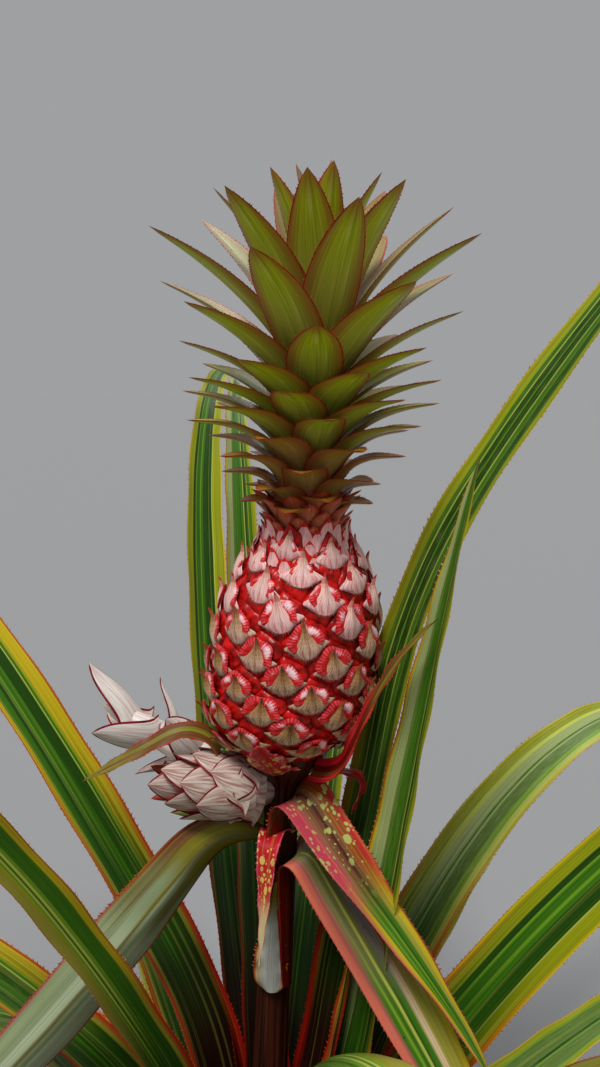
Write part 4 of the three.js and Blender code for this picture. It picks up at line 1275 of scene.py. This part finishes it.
def slip_stand(slip):
    """The slip's own frame as a matrix: its axis runs along local Z from the stalk."""
    slope = math.radians(slip["slope"])
    out = Vector(heading_vector(slip["out"]) * math.cos(slope) + UP * math.sin(slope))
    turn = Vector((0, 0, 1)).rotation_difference(out).to_matrix().to_4x4()
    stand = np.array(turn)
    stand[:3, 3] = axis_point(slip["z"], slip["heading"], STALK_RADIUS)
    return stand


def slip_leaf(slip, i):
    share = (i + 0.5) / slip["leaves"]
    heading = slip["phase"] + SPIRAL_TURN * i
    reach = 0.75 * slip["radius"] * math.sin(math.pi * (0.25 + 0.65 * share))
    root = heading_vector(heading) * reach
    root[2] = slip["length"] * (0.06 + 0.72 * share)
    length = slip["leaf_length"] * (slip["least"] + (1 - slip["least"]) * share)
    return dict(root=root, heading=heading, length=length, width=slip["leaf_width"] * (1 - 0.3 * share),
                rise=90 - slip["spread"] * (2.2 - 1.2 * share), turn=-slip["spread"] * slip["close"],
                bend=(0, 0.7), arch=slip["spread"] * 0.6, sweep=0, roll=0, fold=0.45, curl=2.0)


# Each slip's two finishes, outside and inside: name, colour and shade
SLIP_LOOKS = {
    "slip_front": (("slip scale blush", (202, 186, 176), (152, 106, 98)),
                   ("slip scale inner", (196, 96, 76), (150, 34, 26))),
    "slip_back": (("slip leaf lilac", (222, 220, 214), (200, 176, 172)),
                  ("slip leaf inner", (214, 200, 196), (196, 142, 142))),
    "slip_lower": (("slip leaf lime", (176, 178, 92), (140, 148, 60)),
                   ("slip leaf olive", (132, 140, 62), (100, 104, 40))),
}


def slip_core(slip):
    """The slip's body under its leaves, closed at both ends."""
    ring, row, faces = quads(24, 16)
    wide, tall = slip["radius"], slip["length"]
    profile = [(0, 0, -4), (0.1, 6, -4), (0.35, 0.75 * wide, 0.25 * tall), (0.6, 0.8 * wide, 0.5 * tall),
               (0.85, 0.4 * wide, 0.85 * tall), (1, 0, 0.95 * tall)]
    marks, radii, heights = zip(*profile)
    places = heading_vector(360 * ring) * np.interp(row, marks, radii)[:, None]
    places[:, 2] = np.interp(row, marks, heights)
    return places, faces, np.stack([ring, row], axis=-1)


def slips():
    """Each slip's scale leaves, edged in crimson, and the core that they stand on."""
    edge = even_finish("slip edge", paint(134, 22, 28), paint(92, 8, 14), roughness=0.45, pitch=200,
                       relief=0.1)
    for name, looks in SLIP_LOOKS.items():
        finishes = [
            streaked_finish(look, paint(*colour), paint(*shade), streaks=(18, 1.6), coat=0.1, relief=0.35)
            for look, colour, shade in looks
        ]
        slip = SLIPS[name]
        stand = slip_stand(slip)
        made = Gathered()
        for i in range(slip["leaves"]):
            places, faces, shares, ring = blade(slip_leaf(slip, i), columns=10, rows=14, thickness=1.6,
                                                margin=1.1)
            dealt = np.where(from_middle(ring) > 0.8, 2, np.where(ring < 0.5, 1, 0))
            made.add(stood(places, stand), faces, shares, dealt)
        places, faces, shares = slip_core(slip)
        made.add(stood(places, stand), faces, shares, 0)
        made.make(name, [*finishes, edge], "slip", [name])


# Stage, light and camera

FLOOR_RADIUS = 12
FLOOR_TINT = (0.252, 0.257, 0.268, 1)
SKY_TINT = (0.97, 0.98, 1.0, 1.0)
SKY_STRENGTH = 0.36

# Each sun's place, spread in degrees, power and colour
SUNS = {
    "key": ((-0.5, -1.2, 2.4), 20, 2.85, (1.0, 0.98, 0.94)),
    "back": ((0.7, 1.6, 1.8), 30, 0.8, (1.0, 0.99, 0.95)),
}


def floor_disc():
    floor_mesh = bpy.data.meshes.new("floor")
    disc = bmesh.new()
    bmesh.ops.create_circle(disc, cap_ends=True, segments=96, radius=FLOOR_RADIUS)
    disc.to_mesh(floor_mesh)
    disc.free()
    floor = bpy.data.objects.new("floor", floor_mesh)
    bpy.context.scene.collection.objects.link(floor)
    paper = even_finish("floor paper", FLOOR_TINT, FLOOR_TINT, roughness=1.0, relief=0.0)
    floor_mesh.materials.append(paper)


def light():
    world = bpy.data.worlds.new("studio")
    world.use_nodes = True
    background = world.node_tree.nodes["Background"]
    background.inputs["Color"].default_value = SKY_TINT
    background.inputs["Strength"].default_value = SKY_STRENGTH
    bpy.context.scene.world = world
    for name, (place, spread, power, colour) in SUNS.items():
        sun = bpy.data.lights.new(name, "SUN")
        sun.angle = math.radians(spread)
        sun.energy = power
        sun.color = colour
        lamp = bpy.data.objects.new(name, sun)
        lamp.location = place
        lamp.rotation_euler = (-Vector(place)).to_track_quat("-Z", "Y").to_euler()
        bpy.context.scene.collection.objects.link(lamp)
    bpy.context.scene.view_settings.view_transform = "Standard"


FILM_WIDTH = 36
LENS_LENGTH = 37.8
EYE_PLACE = (0.021, -0.649, 0.681)
EYE_TILT = 80


def camera():
    """The photograph's view: close in front, looking a little down."""
    lens = bpy.data.cameras.new("camera")
    lens.sensor_width = FILM_WIDTH
    lens.lens = LENS_LENGTH
    lens.clip_start = 0.01
    eye = bpy.data.objects.new("camera", lens)
    eye.location = EYE_PLACE
    eye.rotation_euler = (math.radians(EYE_TILT), 0, 0)
    bpy.context.scene.collection.objects.link(eye)
    bpy.context.scene.camera = eye


camera()
stem()
fruit_stalk()
rosette()
stalk_leaves()
fruit_cells()
fruitlets()
shoulder_scales()
crown()
slips()
floor_disc()
light()
